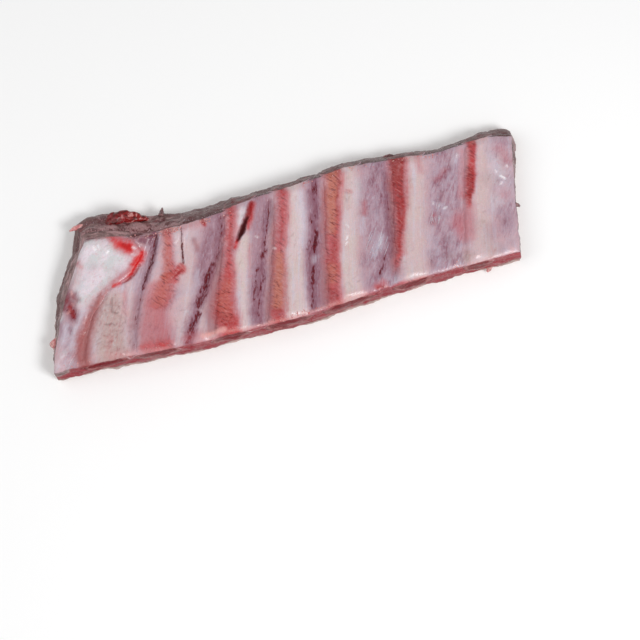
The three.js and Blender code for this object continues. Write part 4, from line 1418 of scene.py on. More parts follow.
class BoneSideFinish(Finish):
    """Membrane over bone and meat on the face, and cut meat on the walls."""

    def ragged(self, name: str, broken_by: Wire, amount: float = 0.7) -> Wire:
        """Share of a painted colour, with its soft edge broken up by a pattern.

        Args:
            name: Name of the paint.
            broken_by: The pattern.
            amount: How far it breaks the edge.

        Returns:
            The share.
        """
        mask = self.shader.attribute(name)
        unsure = mask * (1.0 - mask) * 4.0
        return mask + (broken_by - 0.5) * amount * unsure

    def membrane(self, broad: Wire, strands: Wire, mottle: Wire) -> Wire:
        """Lilac and pink membrane with cream where the bones lie close under it.

        Args:
            broad: Wide soft streaks.
            strands: Thin streaks along the ribs.
            mottle: Small blotches.

        Returns:
            The colour.
        """
        g = self.shader
        cloudy = g.noise(self.place, 0.085, 5.0, 0.6)
        bone = g.coats(
            "cream",
            ("ivory", g.step(cloudy, 0.46, 0.64) * 0.7),
            ("blush", g.step(strands, 0.5, 0.68) * 0.5),
            ("haze", g.step(broad, 0.5, 0.68) * 0.55),
        )
        dry = self.ragged("tan", mottle)
        # White of gristle, also used for a few small painted highlights.
        gristle_and_glints = g.coats(
            "white",
            ("frost", g.step(g.noise(self.place, 0.13, 4.0), 0.4, 0.62)),
            ("blush", g.step(mottle, 0.5, 0.7) * 0.45),
        )
        edge = g.attribute("edge") * g.step(mottle * 0.5 + cloudy * 0.5, 0.3, 0.66)
        return g.coats(
            "lilac",
            ("blush", g.step(cloudy, 0.3, 0.7)),
            ("haze", g.step(broad, 0.5, 0.7) * 0.5),
            (bone, self.ragged("cream", broad, 0.6)),
            ("tan", dry * 0.8),
            ("rose", dry * g.step(strands, 0.54, 0.7) * 0.4),
            ("dusky", dry * g.step(mottle, 0.56, 0.7) * 0.45),
            ("frost", dry * g.step(mottle, 0.44, 0.32) * 0.35),
            (gristle_and_glints, self.ragged("pale", cloudy, 0.5) * 0.92),
            ("rose", edge * 0.5),
        )

    def veil(self, colour: Wire) -> Wire:
        """Slanting strands of sinew over the meat between the last ribs.

        Args:
            colour: What lies under it.

        Returns:
            The colour with the strands.
        """
        g = self.shader
        turned = g.turned(self.place, 0.34)
        strands = g.streaks(turned, 0.8, 0.17, 5.0, 0.8)
        patches = g.streaks(turned, 0.26, 0.12, 4.0, 0.6)
        crumbs = g.streaks(turned, 1.2, 0.6, 4.0, 0.5)
        there = g.attribute("veil")
        dark = g.step(strands, 0.53, 0.66) * g.step(patches, 0.44, 0.58)
        pale = g.step(strands, 0.46, 0.35) * 0.5 + g.step(crumbs, 0.44, 0.34) * 0.4
        return g.coats(
            colour,
            ("dusk", there * 0.6),
            ("mauve", there * g.step(patches + (strands - 0.5) * 0.6, 0.45, 0.62) * 0.6),
            ("rose", there * g.step(crumbs, 0.54, 0.7) * g.step(patches, 0.46, 0.56) * 0.35),
            ("purple", there * dark * 0.75),
            ("haze", there * pale),
        )

    def meat(self, colour: Wire, strands: Wire, mottle: Wire) -> Wire:
        """Meat between the ribs: a mauve bloom, purple in its middle and dark torn strands.

        Args:
            colour: What lies under it.
            strands: Thin streaks along the ribs.
            mottle: Small blotches.

        Returns:
            The colour with the meat.
        """
        g = self.shader
        mixed = strands * 0.6 + mottle * 0.4
        torn = g.streaks(self.place, 0.7, 0.2, 5.0, 1.0)
        curds = g.streaks(self.place, 1.3, 0.5, 4.0, 0.5)
        bloom = self.ragged("mauve", mixed, 0.8)
        there = g.attribute("streak")
        broken = torn * 0.6 + curds * 0.4
        depth = g.step(there * 0.8 + (broken - 0.5) * 3.0, 0.4, 0.8) * g.step(there, 0.02, 0.3)
        return g.coats(
            colour,
            ("mauve", bloom * 0.85),
            ("dusky", bloom * g.step(torn, 0.52, 0.66) * 0.5),
            ("lilac", bloom * g.step(curds, 0.46, 0.34) * 0.5),
            ("dusky", self.ragged("dusky", mixed, 0.8) * 0.85),
            ("purple", self.ragged("purple", broken, 2.4) * 0.8),
            ("plum", depth * 0.9),
            ("crimson", depth * g.step(curds, 0.5, 0.62) * 0.25),
        )

    def reds(self, colour: Wire, strands: Wire, mottle: Wire) -> Wire:
        """Blood under the membrane: red bands with slanting darker lines across them.

        Args:
            colour: What lies under it.
            strands: Thin streaks along the ribs.
            mottle: Small blotches.

        Returns:
            The colour with the bands.
        """
        g = self.shader
        hatch = g.noise(g.scaled(g.turned(self.place, 0.72), (0.22, 1.35, 1.0)), 1.0, 3.0, 0.6)
        drift = g.noise(self.place, 0.16, 4.0, 0.4)
        fringe = g.mix(colour, "rose", self.ragged("rose", strands, 0.8) * 0.75)
        thick = g.step(drift * 0.6 + mottle * 0.4, 0.32, 0.56)
        band = g.coats(
            "scarlet",
            ("rose", g.step(drift, 0.44, 0.62) * 0.6),
            ("ochre", self.ragged("ochre", mottle, 0.7) * 0.85),
            ("umber", self.ragged("umber", mottle, 0.8) * 0.85),
            ("crimson", self.ragged("crimson", mottle, 0.9) * 0.85),
            ("maroon", g.step(hatch, 0.52, 0.64) * g.step(drift, 0.38, 0.52) * 0.75),
            ("fat_pink", g.step(hatch, 0.44, 0.32) * 0.22),
        )
        return g.mix(fringe, band, self.ragged("red", hatch * 0.4 + mottle * 0.6, 0.8) * (0.8 + 0.2 * thick))

    def face_colour(self) -> Wire:
        """Colour of the bone side, from its painted masks.

        Returns:
            The colour.
        """
        g = self.shader
        broad = g.streaks(self.place, 0.42, 0.035, 4.0, 0.3)
        strands = g.streaks(self.place, 1.5, 0.1, 4.0, 0.2)
        fine = g.streaks(self.place, 3.2, 0.4, 3.0)
        mottle = g.noise(self.place, 0.55, 5.0, 0.5)
        grainy = g.noise(self.place, 1.9, 3.0)
        colour = self.membrane(broad, strands, mottle)
        colour = self.meat(self.veil(colour), strands, mottle)
        crease = g.streaks(self.place, 0.13, 0.34, 5.0, 0.9)
        fold = g.coats(
            "wall_pale",
            ("lilac", g.step(crease, 0.52, 0.4) * 0.8),
            ("wall_brown", g.step(crease, 0.5, 0.62) * 0.85),
        )
        colour = g.coats(
            colour,
            ("haze", self.ragged("bluish", strands, 1.6) * 0.75),
            ("rust", self.ragged("rust", mottle, 0.8) * 0.88),
            (fold, self.ragged("fold", mottle, 0.7)),
        )
        colour = self.reds(colour, strands, mottle)
        spots = g.step(mottle, 0.63, 0.74) * g.step(grainy, 0.45, 0.6)
        colour = g.coats(
            colour,
            ("fat_pink", self.ragged("pink", grainy, 1.0) * 0.9),
            ("rose", spots * 0.45),
            ("maroon", g.attribute("flecks") * (0.3 + grainy * 0.6)),
            ("blood", self.ragged("blood", mottle, 1.2) * 0.95),
            ("wound", self.ragged("wound", mottle * 0.5 + fine * 0.5, 2.4) * 0.9),
            ("clot", self.ragged("dark", fine, 0.5) * 0.95),
            ("glint", self.ragged("glints", grainy, 1.6) * 0.85),
        )
        return g.shade(colour, 0.72 + 0.24 * fine + 0.34 * grainy)

    def wall_colour(self) -> Wire:
        """Colour of the cut meat: brown-grey folds, painted as shade away from the lit front wall, with red
        and pale seams.

        Returns:
            The colour.
        """
        g = self.shader
        slow = g.streaks(self.place, 0.1, 0.25, 4.0, 0.5)
        layers = g.streaks(self.place, 0.18, 1.1, 5.0, 0.6)
        grainy = g.noise(self.place, 1.3, 4.0)
        lit_red = g.attribute("lit_red")
        deep = g.attribute("depth")
        flesh = g.mix("wall_red", "marrow", g.step(layers, 0.5, 0.66) * 0.7)
        under_rim = g.step(deep, 0.2, 0.04)
        clumps = g.streaks(self.place, 0.13, 0.3, 5.0, 1.2)
        darker = g.step(clumps, 0.5, 0.6) * (1.0 - lit_red)
        # Pale patches on the grey walls: painted highlights.
        painted_highlights = g.step(lit_red, 0.1, 0.26) * (1.0 - lit_red) * g.step(clumps, 0.51, 0.42)
        # White specks on the grey walls, thickest just under the rim: painted wet glints.
        painted_glints = g.step(g.noise(self.place, 1.0, 2.0), 0.66, 0.73) + g.step(grainy, 0.58, 0.68) * under_rim
        # Grey-brown base: painted shade of walls facing away from the lamps; red flesh on the lit front wall.
        colour = g.coats(
            "wall_grey",
            ("wall_brown", g.step(layers, 0.4, 0.6) * 0.8),
            (flesh, g.step(lit_red + (slow - 0.5) * 0.9, 0.25, 0.75) * 0.9),
            ("wall_pale", g.step(grainy + layers - 0.5, 0.62, 0.76) * 0.55),
            ("clot", under_rim * (1.0 - lit_red) * (0.25 + 0.5 * slow)),
            ("rose", under_rim * lit_red * g.step(grainy, 0.4, 0.6) * 0.6),
            ("plum", darker * 0.4),
            ("wall_pale", painted_highlights * 0.85),
            ("clot", g.step(layers, 0.37, 0.28) * 0.7),
            ("haze", painted_glints * (1.0 - lit_red) * 0.6),
            ("wall_pale", g.attribute("lip") * g.step(slow + grainy - 0.5, 0.4, 0.6) * 0.6),
        )
        return g.shade(colour, 0.62 + 0.5 * grainy + 0.25 * slow)

    def colour(self) -> Wire:
        """Face colour that gives way to wall colour past the rim.

        Returns:
            The colour.
        """
        g = self.shader
        ragged = g.attribute("cut") + (g.noise(self.place, 0.8, 3.0) - 0.5) * 0.5
        return g.mix(self.face_colour(), self.wall_colour(), g.step(ragged, 0.3, 0.7))

    def height(self) -> Wire:
        """Fine height, with deeper folds in the cut walls.

        Returns:
            The height, as a number around 1.
        """
        g = self.shader
        folds = g.streaks(self.place, 0.3, 1.2, 5.0, 0.5)
        return super().height() + g.attribute("cut") * folds * 2.2

    def film(self) -> Wire:
        """The wet film is thin in dark slits and on the cut walls.

        Returns:
            Weight of the film.
        """
        g = self.shader
        cut = g.attribute("cut")
        rim = cut * (1.0 - cut) * 4.0
        return self.wet.coat * (1.0 - 0.25 * cut) * (1.0 - 0.9 * rim) * (1.0 - 0.9 * g.attribute("pink"))

    def soaked(self) -> Wire:
        """Clots, torn streaks and blood take up light; a glint or two stays on them.

        Returns:
            Share of the matte surface.
        """
        g = self.shader
        dark = (1.0 - g.attribute("dark")) * (1.0 - g.attribute("wound") * 0.9)
        red = (1.0 - g.attribute("blood") * 0.75) * (1.0 - g.attribute("red") * 0.35)
        return (1.0 - dark * red * (1.0 - g.attribute("streak") * 0.7)) * (1.0 - g.attribute("glints"))


class RibFinish(BoneSideFinish):
    """A rib: membrane on the face, and a ring of bone round marrow at its sawn ends."""

    def wall_colour(self) -> Wire:
        """Sawn end of the bone, smeared with meat; the ends in the back wall also take that wall's painted
        shade.

        Returns:
            The colour.
        """
        g = self.shader
        core = g.attribute("core")
        pores = g.noise(self.place, 2.2, 3.0)
        smear = g.noise(self.place, 0.35, 4.0, 0.5)
        layers = g.streaks(self.place, 0.18, 1.1, 5.0, 0.6)
        # Grey-brown of the back wall, put on the rib ends there as painted shade.
        shaded_wall_smear = g.mix("wall_grey", "wall_brown", g.step(layers, 0.4, 0.6) * 0.8)
        colour = g.coats(
            "bone_cut",
            ("marrow", g.step(core + (smear - 0.5) * 0.5, 0.14, 0.34)),
            ("clot", g.step(pores, 0.55, 0.7) * core * 0.6),
            ("maroon", g.step(smear, 0.45, 0.62) * 0.5),
            ("wall_red", g.step(core, 0.14, 0.02) * 0.85),
            (shaded_wall_smear, (1.0 - g.attribute("lit_red")) * (0.45 + 0.5 * g.step(smear, 0.35, 0.6))),
        )
        return g.shade(colour, 0.66 + 0.5 * pores)


class PlateFinish(BoneSideFinish):
    """The cartilage plate: the face's own paint, and greyish gristle where it is cut."""

    def wall_colour(self) -> Wire:
        """Cut gristle: grey-white with thin darker layers.

        Returns:
            The colour.
        """
        g = self.shader
        layers = g.streaks(self.place, 0.2, 1.1, 4.0, 0.4)
        grainy = g.noise(self.place, 1.3, 4.0)
        colour = g.coats(
            "wall_pale",
            ("wall_grey", g.step(layers, 0.36, 0.56) * 0.9),
            ("wall_brown", g.step(layers, 0.56, 0.68) * 0.7),
        )
        return g.shade(colour, 0.7 + 0.5 * grainy)


class FatFinish(Finish):
    """Pale fat with a greasy bloom and a few pink stains."""

    def colour(self) -> Wire:
        """Colour of the fat.

        Returns:
            The colour.
        """
        g = self.shader
        cloudy = g.noise(self.place, 0.11, 4.0, 0.5)
        fine = g.noise(self.place, 1.1, 4.0)
        veins = g.noise(self.place, 0.28, 5.0, 1.2)
        colour = g.coats(
            "fat_cream",
            ("fat_pink", g.step(cloudy, 0.42, 0.68) * 0.7),
            ("white", g.step(cloudy, 0.45, 0.3) * 0.5),
            ("rose", g.step(veins, 0.6, 0.68) * g.step(veins, 0.76, 0.68) * 0.5),
            ("wall_grey", g.attribute("cut") * 0.6),
            ("rose", g.step(fine, 0.62, 0.72) * 0.35),
        )
        return g.shade(colour, 0.78 + 0.38 * fine)


class ScrapFinish(Finish):
    """Loose scraps: pink flesh with pale and dark edges."""

    def colour(self) -> Wire:
        """Colour of a scrap.

        Returns:
            The colour.
        """
        g = self.shader
        cloudy = g.noise(self.place, 0.4, 4.0, 0.5)
        fine = g.noise(self.place, 1.4, 4.0)
        colour = g.coats(
            "fat_pink",
            ("rose", g.step(cloudy, 0.42, 0.6) * 0.75),
            ("wall_grey", g.step(cloudy, 0.44, 0.32) * 0.6),
        )
        return g.shade(colour, 0.72 + 0.5 * fine)


class SinewFinish(Finish):
    """Bluish white sinew."""

    def colour(self) -> Wire:
        """Colour of a thread.

        Returns:
            The colour.
        """
        g = self.shader
        cloudy = g.noise(self.place, 0.5, 3.0)
        return g.mix("haze", "white", g.step(cloudy, 0.4, 0.6))


class LumpFinish(Finish):
    """Dark trimmed meat with pale ends of sinew, redder on its lit right side, where pale pink streaks are
    partly painted highlights.
    """

    def colour(self) -> Wire:
        """Colour of the lump.

        Returns:
            The colour.
        """
        g = self.shader
        folds = g.noise(g.scaled(self.place, (0.26, 0.34, 0.3)), 1.0, 4.0, 1.0)
        fine = g.noise(self.place, 1.0, 4.0)
        lit_red = g.attribute("lit_red")
        colour = g.coats(
            "maroon",
            ("crimson", lit_red * 0.8),
            ("clot", g.step(folds, 0.5, 0.36) * 0.8),
            ("wall_red", g.step(folds, 0.5, 0.62) * 0.5),
            # Pale pink streaks on the lit side: partly the meat's own colour, partly painted highlights.
            ("fat_pink", g.step(folds + (lit_red - 0.5) * 0.16, 0.58, 0.7) * lit_red * 0.8),
            ("wall_grey", g.step(fine, 0.56, 0.7) * 0.35),
        )
        return g.shade(colour, 0.72 + 0.5 * fine)


@dataclass
class Piece:
    """A piece of the rack: its names, its mesh and its place in the frame."""

    form: RackForm
    paint: BoneSidePaint
    finish: Finish
    name: str = ""
    slot_name: str = ""
    stands_for: tuple[str, ...] = ()

    def make(self, points: Array, faces: Faces, layers: Masks, grain: Array) -> bpy.types.Object:
        """Makes the object from plan millimetres.

        Args:
            points: One plan position and height for each vertex.
            faces: Vertex numbers of each face.
            layers: Values stored on the vertices.
            grain: Pattern coordinates of the vertices.

        Returns:
            The object, at the origin, with its normals outwards.
        """
        mesh = bpy.data.meshes.new(self.name)
        mesh.from_pydata(to_frame(points).tolist(), [], faces)
        for name, values in layers.items():
            store(mesh, name, values)
        store(mesh, "grain", grain)
        work = bmesh.new()
        work.from_mesh(mesh)
        bmesh.ops.recalc_face_normals(work, faces=work.faces)
        work.to_mesh(mesh)
        work.free()
        mesh.shade_smooth()
        return self.link(mesh)

    def link(self, mesh: bpy.types.Mesh) -> bpy.types.Object:
        """Puts a mesh in the scene as this piece.

        Args:
            mesh: The piece's mesh.

        Returns:
            The object.
        """
        made = bpy.data.objects.new(self.name, mesh)
        bpy.context.scene.collection.objects.link(made)
        return made

    def place(self, made: bpy.types.Object) -> None:
        """Dresses the piece and joins it to its body.

        Args:
            made: The piece's object.
        """
        made.data.materials.clear()
        made.data.materials.append(self.finish.material)
        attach(made, BODY)
        if self.stands_for:
            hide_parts(*self.stands_for)
        LOG.info("%s: %d faces", made.name, len(made.data.polygons))


@dataclass(frozen=True)
class RimLoop:
    """A grid over the rack and its rim points, once round: front, right, back, then left."""

    columns: int
    rows: int
    first: float = 0.0
    last: float = 1.0

    def grid(self) -> tuple[Array, Array]:
        """Shares s and v of every point of the grid, column by column."""
        return lattice(np.linspace(self.first, self.last, self.columns + 1), np.linspace(0, 1, self.rows + 1))

    def shares(self) -> tuple[Array, Array]:
        """Shares s and v of each rim point.

        Returns:
            Both shares, in the order of the rim.
        """
        i = np.arange(self.columns) / self.columns
        j = np.arange(self.rows) / self.rows
        s = np.concatenate([i, np.ones(self.rows), 1 - i, np.zeros(self.rows)])
        v = np.concatenate([np.zeros(self.columns), j, np.ones(self.columns), 1 - j])
        return blend(self.first, self.last, s), v

    def numbers(self) -> Array:
        """Number of each rim point in the grid.

        Returns:
            The numbers, in the order of the rim.
        """
        deep = self.rows + 1
        i = np.arange(self.columns)
        j = np.arange(self.rows)
        back = (self.columns - i) * deep + self.rows
        return np.concatenate([i * deep, self.columns * deep + j, back, self.rows - j])

    def faces(self, start: int = 0) -> Faces:
        """Faces of the grid, whose first point has the given number.

        Args:
            start: Number of the first point.

        Returns:
            Four point numbers for each face.
        """
        deep = self.rows + 1
        column, row = lattice(np.arange(self.columns), np.arange(self.rows))
        a = start + column * deep + row
        return np.stack([a, a + deep, a + deep + 1, a + 1], axis=1).tolist()

    def strips(self, ring: Array) -> Faces:
        """Long faces that close a ring.

        Args:
            ring: Point numbers of the ring, in the order of the rim.

        Returns:
            Faces from its front side to its back side, with a many-sided one at each end.
        """
        n, m = self.columns, self.rows
        front = ring[: n + 1]
        back = ring[n + m : 2 * n + m + 1][::-1]
        faces = [(front[k], back[k], back[k + 1], front[k + 1]) for k in range(1, n - 1)]
        left = [front[1], front[0], *ring[2 * n + m + 1 :][::-1], back[0], back[1]]
        right = [front[n - 1], back[n - 1], *ring[n : n + m + 1][::-1]]
        return [tuple(int(k) for k in face) for face in (*faces, left, right)]


class Shell:
    """A grid with walls round its rim, grown ring by ring and closed at the last one."""

    def __init__(self, loop: RimLoop, points: Array, grain: Array) -> None:
        """Starts with the grid's own points and pattern coordinates.

        Args:
            loop: The grid's rim.
            points: A plan position and height for each point of the grid.
            grain: Their pattern coordinates.
        """
        self.loop = loop
        self.rim = loop.numbers()
        self.last = self.rim
        self.points = [points]
        self.grains = [grain]
        self.cuts = [np.zeros(len(points))]
        self.depths = [np.zeros(len(points))]
        self.faces = loop.faces()

    def ring(self, points: Array, grain: Array, cut: float, depth: Array) -> None:
        """Joins a ring of points to the last one.

        Args:
            points: Plan positions and heights, in the order of the rim.
            grain: Their pattern coordinates.
            cut: Share of cut surface in their colour.
            depth: Share of the wall's height that lies above them.
        """
        numbers = sum(len(part) for part in self.points) + np.arange(len(points))
        self.faces += ring_faces(self.last, numbers)
        self.last = numbers
        self.points.append(points)
        self.grains.append(grain)
        self.cuts.append(np.full(len(points), cut))
        self.depths.append(depth)

    def carried(self, grid: Array, rim: Array) -> Array:
        """Values of the grid, then the rim's values for every ring."""
        return np.concatenate([grid, np.tile(rim, len(self.points) - 1)])

    def layers(self, masks: Masks) -> Masks:
        """Paint masks of the grid carried down the walls, with cut and depth.

        Args:
            masks: Paint masks of the grid.

        Returns:
            The masks of every point.
        """
        found = {name: self.carried(mask, mask[self.rim]) for name, mask in masks.items()}
        found["cut"] = np.concatenate(self.cuts)
        found["depth"] = np.concatenate(self.depths)
        return found

    def whole(self) -> tuple[Array, Faces]:
        """Every point, and every face with those that close the last ring."""
        return np.concatenate(self.points), self.faces + self.loop.strips(self.last)


@dataclass
class LeanMeat(Piece):
    """The meat: bone side between the ribs, and the cut walls down to the fat."""

    name: str = "lean_meat_body"
    slot_name: str = "lean_meat"
    stands_for: tuple[str, ...] = ("lean_meat",)
    columns: int = 460
    rows: int = 130
    wall_rows: int = 22
    dip: float = 1.3
    tuck: float = 1.6
    floor_height: float = 2.2
    wall_pattern: float = 40.0
    lip_height: float = 13.0

    def sink(self, x: Array, y: Array) -> Array:
        """How far the meat lies under the ribs and under the cartilage plate.

        Args:
            x: Plan x.
            y: Plan y.

        Returns:
            Depths in millimetres.
        """
        deep = np.zeros(np.shape(x))
        wander = self.form.seam(x, y)
        for rib in self.form.ribs:
            v, left, width = self.form.band(rib, y)
            gap_left = x - left + wander
            gap_right = left + width - x + wander
            inside = 0.5 * fade(-1.6, 2.2, gap_left) + 0.5 * fade(2.4, 5.0, gap_left)
            inside = np.minimum(inside, 0.5 * fade(-1.8, 2.6, gap_right) + 0.5 * fade(2.8, 5.5, gap_right))
            if rib.end < 1.0:
                inside = inside * fade(rib.end, rib.end - 0.04, v)
            deep = np.maximum(deep, inside)
        return self.dip * np.maximum(deep, self.form.under_plate(x, y))

    def build(self) -> None:
        """Builds the bone side, the walls and the hidden underside."""
        form = self.form
        loop = RimLoop(self.columns, self.rows)
        s, v = loop.grid()
        x, y, z, inward = form.surface(s, v)
        masks = self.paint.masks(x, y)
        z = z + form.calm(inward) * (self.paint.detail(x, y, masks) - self.sink(x, y))
        shell = Shell(loop, np.stack([x, y, z], axis=1), flat(*form.fibre_place(x, y)))
        rim_s, rim_v = loop.shares()
        rim_x, rim_y = x[shell.rim], y[shell.rim]
        seam = 1.0 - form.fat_top(rim_x, rim_y) / z[shell.rim]
        walk = walked(rim_x, rim_y)
        for k in range(1, self.wall_rows + 1):
            down = seam * (k / self.wall_rows)
            ring = form.wall(rim_s, rim_v, down)
            shell.ring(ring, flat(walk, self.wall_pattern + ring[:, 2]), 1.0, down)
        inner = form.wall(rim_s, rim_v, seam, -self.tuck)
        inner[:, 2] = self.floor_height
        shell.ring(inner, shell.grains[-1], 1.0, seam)
        points, faces = shell.whole()
        layers = shell.layers(masks)
        # Share of lit red flesh on each wall: full on the lit front, low on the back and the ends, which get
        # painted shade.
        behind = 0.08 + 0.22 * fade(-30.0, -66.0, rim_x)
        ends = np.where(rim_s <= 0.0, 0.12, 0.25)
        lit_red = np.where(rim_v <= 0.0, 1.0, np.where(rim_v >= 1.0, behind, ends))
        layers["lit_red"] = shell.carried(0.0 * x, lit_red)
        layers["lip"] = self.lip(points)
        self.place(self.make(points, faces, layers, np.concatenate(shell.grains)))

    def lip(self, points: Array) -> Array:
        """Pale edge of the membrane and of the plate, just under the rim of the walls.

        Args:
            points: Plan positions and heights.

        Returns:
            Share of the pale edge.
        """
        x, y, z = points.T
        height = self.lip_height + 1.2 * fractal(x, y, 5.0, 211, 2)
        return 0.8 * fade(-62.0, -76.0, x) * fade(0.0, 1.6, z - height)


@dataclass
class RibBone(Piece):
    """One rib: its face follows the bone side, and its sawn ends show in the walls."""

    slot_name: str = "rib_bone"
    number: int = 1
    columns: int = 52
    stations: int = 150
    arc: int = 14
    cap_rings: int = 7
    side_drop: float = 1.5
    proud: float = 0.18
    face_span: tuple[float, float] = (-0.1, 1.14)
    arc_middle: float = 0.52
    arc_half: float = 0.62

    def __post_init__(self) -> None:
        """Names the rib by its number from the left end, and looks up its course."""
        self.rib = self.form.ribs[self.number - 1]
        self.name = f"rib_{self.number}"
        self.stands_for = (f"rib_bone_{self.number}",)

    def top(self, x: Array, y: Array) -> Array:
        """Height of the rib's own face, which drops under the meat at both sides.

        Args:
            x: Plan x.
            y: Plan y.

        Returns:
            Heights in millimetres.
        """
        form = self.form
        _, left, width = form.band(self.rib, y)
        gap_left = x - left + form.seam(x, y)
        gap_right = left + width - x + form.seam(x, y)
        drop = 0.5 * fade(2.2, -1.6, gap_left) + fade(-0.6, -2.4, gap_left)
        drop = np.maximum(drop, 0.5 * fade(2.6, -1.8, gap_right) + fade(-0.8, -2.6, gap_right))
        return form.bone_side(x, y) - self.side_drop * np.maximum(drop, form.under_plate(x, y))

    def profile(self) -> tuple[Array, Array]:
        """Section of the rib: its face first, then the arc under it.

        Returns:
            Shares across the rib, and depths below its crest or -1 on its face.
        """
        face = np.linspace(*self.face_span, self.columns + 1)
        turn = np.pi * np.arange(1, self.arc) / self.arc
        arc = self.arc_middle + self.arc_half * np.cos(turn)
        depth = blend(self.form.rib_side, self.form.rib_depth, np.sin(turn))
        return np.concatenate([face, arc]), np.concatenate([np.full(len(face), -1.0), depth])

    def rings(self, t: Array, u: Array, depth: Array) -> Array:
        """Points at shares t from the front wall to the back wall.

        Args:
            t: Share along the rib, one column.
            u: Share across the rib.
            depth: Distance below the rib's crest, or below 0 for points on its face.

        Returns:
            A plan position and height for each point.
        """
        form, rib = self.form, self.rib
        t, u, depth = np.broadcast_arrays(t, u, depth)
        low = along(form.front_rim, rib.front)
        high = along(form.back_rim, rib.back)
        y = blend(low, high, t)
        x = y
        z = y
        for _ in range(3):
            _, left, width = form.band(rib, y)
            x = left + u * width
            crest = form.bone_side(left + 0.5 * width, np.clip(y, low + 1.0, high - 1.0))
            face = self.top(x, y)
            z = np.where(depth < 0.0, face, np.minimum(crest - depth, face - 0.4))
            start = form.wall_y(Side.FRONT, x, z, self.proud)
            finish = form.wall_y(Side.BACK, x, z, self.proud)
            if rib.end < 1.0:
                finish = blend(low, high, rib.end) + 0.0 * finish
            y = blend(start, finish, t)
        return np.stack([x, y, z], axis=-1)

    def refine(self, points: Array, face: Array) -> None:
        """Adds the fine height of the bone side to the rib's face.

        Args:
            points: The rib's points, which are changed in place.
            face: Which of them lie on the face.
        """
        x, y = points[face, 0], points[face, 1]
        s, v = self.form.locate(x, y)
        inward = self.form.plan(s, np.clip(v, 0.0, 1.0))[3]
        points[face, 2] += self.form.calm(inward) * self.paint.detail(x, y, self.paint.masks(x, y))

    def press(self, ring: Array, side: Side) -> Array:
        """Lays points of a sawn end on the wall that it shows in.

        Args:
            ring: The points, which are changed in place.
            side: The wall. An end that stops short of it is left as it is.

        Returns:
            The same points.
        """
        if side is Side.FRONT or self.rib.end >= 1.0:
            ring[:, 1] = self.form.wall_y(side, ring[:, 0], ring[:, 2], self.proud)
        return ring

    def build(self) -> None:
        """Builds the rings, the sawn ends and their paint."""
        u, depth = self.profile()
        count = len(u)
        t = np.linspace(0.0, 1.0, self.stations + 1)[:, None]
        body = self.rings(t, u[None, :], depth[None, :]).reshape(-1, 3)
        on_face = np.tile(depth < 0.0, self.stations + 1)
        self.refine(body, on_face)
        points = [body]
        cut = [np.where(on_face, 0.0, 1.0)]
        core = [np.zeros(len(body))]
        faces: Faces = []
        for near in np.arange(self.stations * count).reshape(-1, count):
            faces += ring_faces(near, near + count)
        start = len(body)
        for side, first in ((Side.FRONT, 0), (Side.BACK, self.stations * count)):
            upper = first + np.arange(count)
            outline = body[upper]
            middle = outline.mean(axis=0)
            for k in range(1, self.cap_rings + 1):
                share = k / (self.cap_rings + 1)
                points.append(self.press(blend(outline, middle, share), side))
                cut.append(np.ones(count))
                core.append(np.full(count, share))
                lower = start + np.arange(count)
                faces += ring_faces(upper, lower)
                upper = lower
                start += count
            points.append(self.press(middle[None, :].copy(), side))
            cut.append(np.ones(1))
            core.append(np.ones(1))
            faces += [(int(a), int(b), start) for a, b in zip(upper, np.roll(upper, -1))]
            start += 1
        placed = np.concatenate(points)
        x, y, z = placed.T
        layers = self.paint.masks(x, y)
        layers["cut"] = np.concatenate(cut)
        layers["core"] = np.concatenate(core)
        # Ends in the front wall show red as lit; those in the back wall take its painted shade.
        layers["lit_red"] = fade(5.0, -5.0, y)
        grain = flat(*self.form.fibre_place(x, y))
        ends = layers["cut"] > 0.5
        grain[ends] = flat(x[ends], z[ends])
        self.place(self.make(placed, faces, layers, grain))


@dataclass
class CartilagePlate(Piece):
    """The white plate over the left end, raised a little along its inner edge."""

    name: str = "cartilage_plate"
    slot_name: str = "cartilage"
    stands_for: tuple[str, ...] = ("breast_cartilage",)
    columns: int = 150
    rows: int = 120
    reach: float = 0.3
    side_rows: int = 8
    base: float = 0.1
    lift: float = 0.5
    bury: float = 2.2
    proud: float = 0.14
    tuck: float = 0.9
    wall_pattern: float = 60.0
    pattern_width: float = 60.0
    pattern_length: float = 240.0

    def build(self) -> None:
        """Builds the plate's face, its sides on the walls and its hidden underside."""
        form = self.form
        loop = RimLoop(self.columns, self.rows, 0.0, self.reach)
        s, v = loop.grid()
        x, y, z, inward = form.surface(s, v)
        masks = self.paint.masks(x, y)
        inside = form.plate_depth(x, y) + 0.6 * fractal(x, y, 3.0, 307, 3)
        calm = form.calm(inward)
        raised = self.lift * fade(-0.5, 1.8, inside) * fade(-16.0, 6.0, y) * (0.4 + 0.6 * calm)
        z = z + calm * self.paint.detail(x, y, masks)
        z = z + self.base + raised - self.bury * fade(0.5, -1.6, inside)
        shell = Shell(loop, np.stack([x, y, z], axis=1), flat(*form.fibre_place(x, y)))
        rim_s, rim_v = loop.shares()
        walk = rim_v * self.pattern_width + rim_s * self.pattern_length
        free = rim_s >= self.reach
        on_wall = np.where(free, 0.0, fade(-0.8, 0.4, inside[shell.rim]))
        drop = blend(0.03, blend(0.3, 0.08, fade(0.9, 1.0, rim_v)), on_wall)
        for k in range(1, self.side_rows + 2):
            share = min(k / self.side_rows, 1.0)
            proud = self.proud if k <= self.side_rows else -self.tuck
            ring = form.wall(rim_s, np.where(free, 0.0, rim_v), drop * share, proud)
            inner = shell.points[0][shell.rim].copy()
            inner[:, 2] -= 3.0 * share
            grain = flat(walk, self.wall_pattern + ring[:, 2])
            shell.ring(blend(inner, ring, on_wall[:, None]), grain, 1.0, drop * share)
        points, faces = shell.whole()
        made = self.make(points, faces, shell.layers(masks), np.concatenate(shell.grains))
        self.place(made)


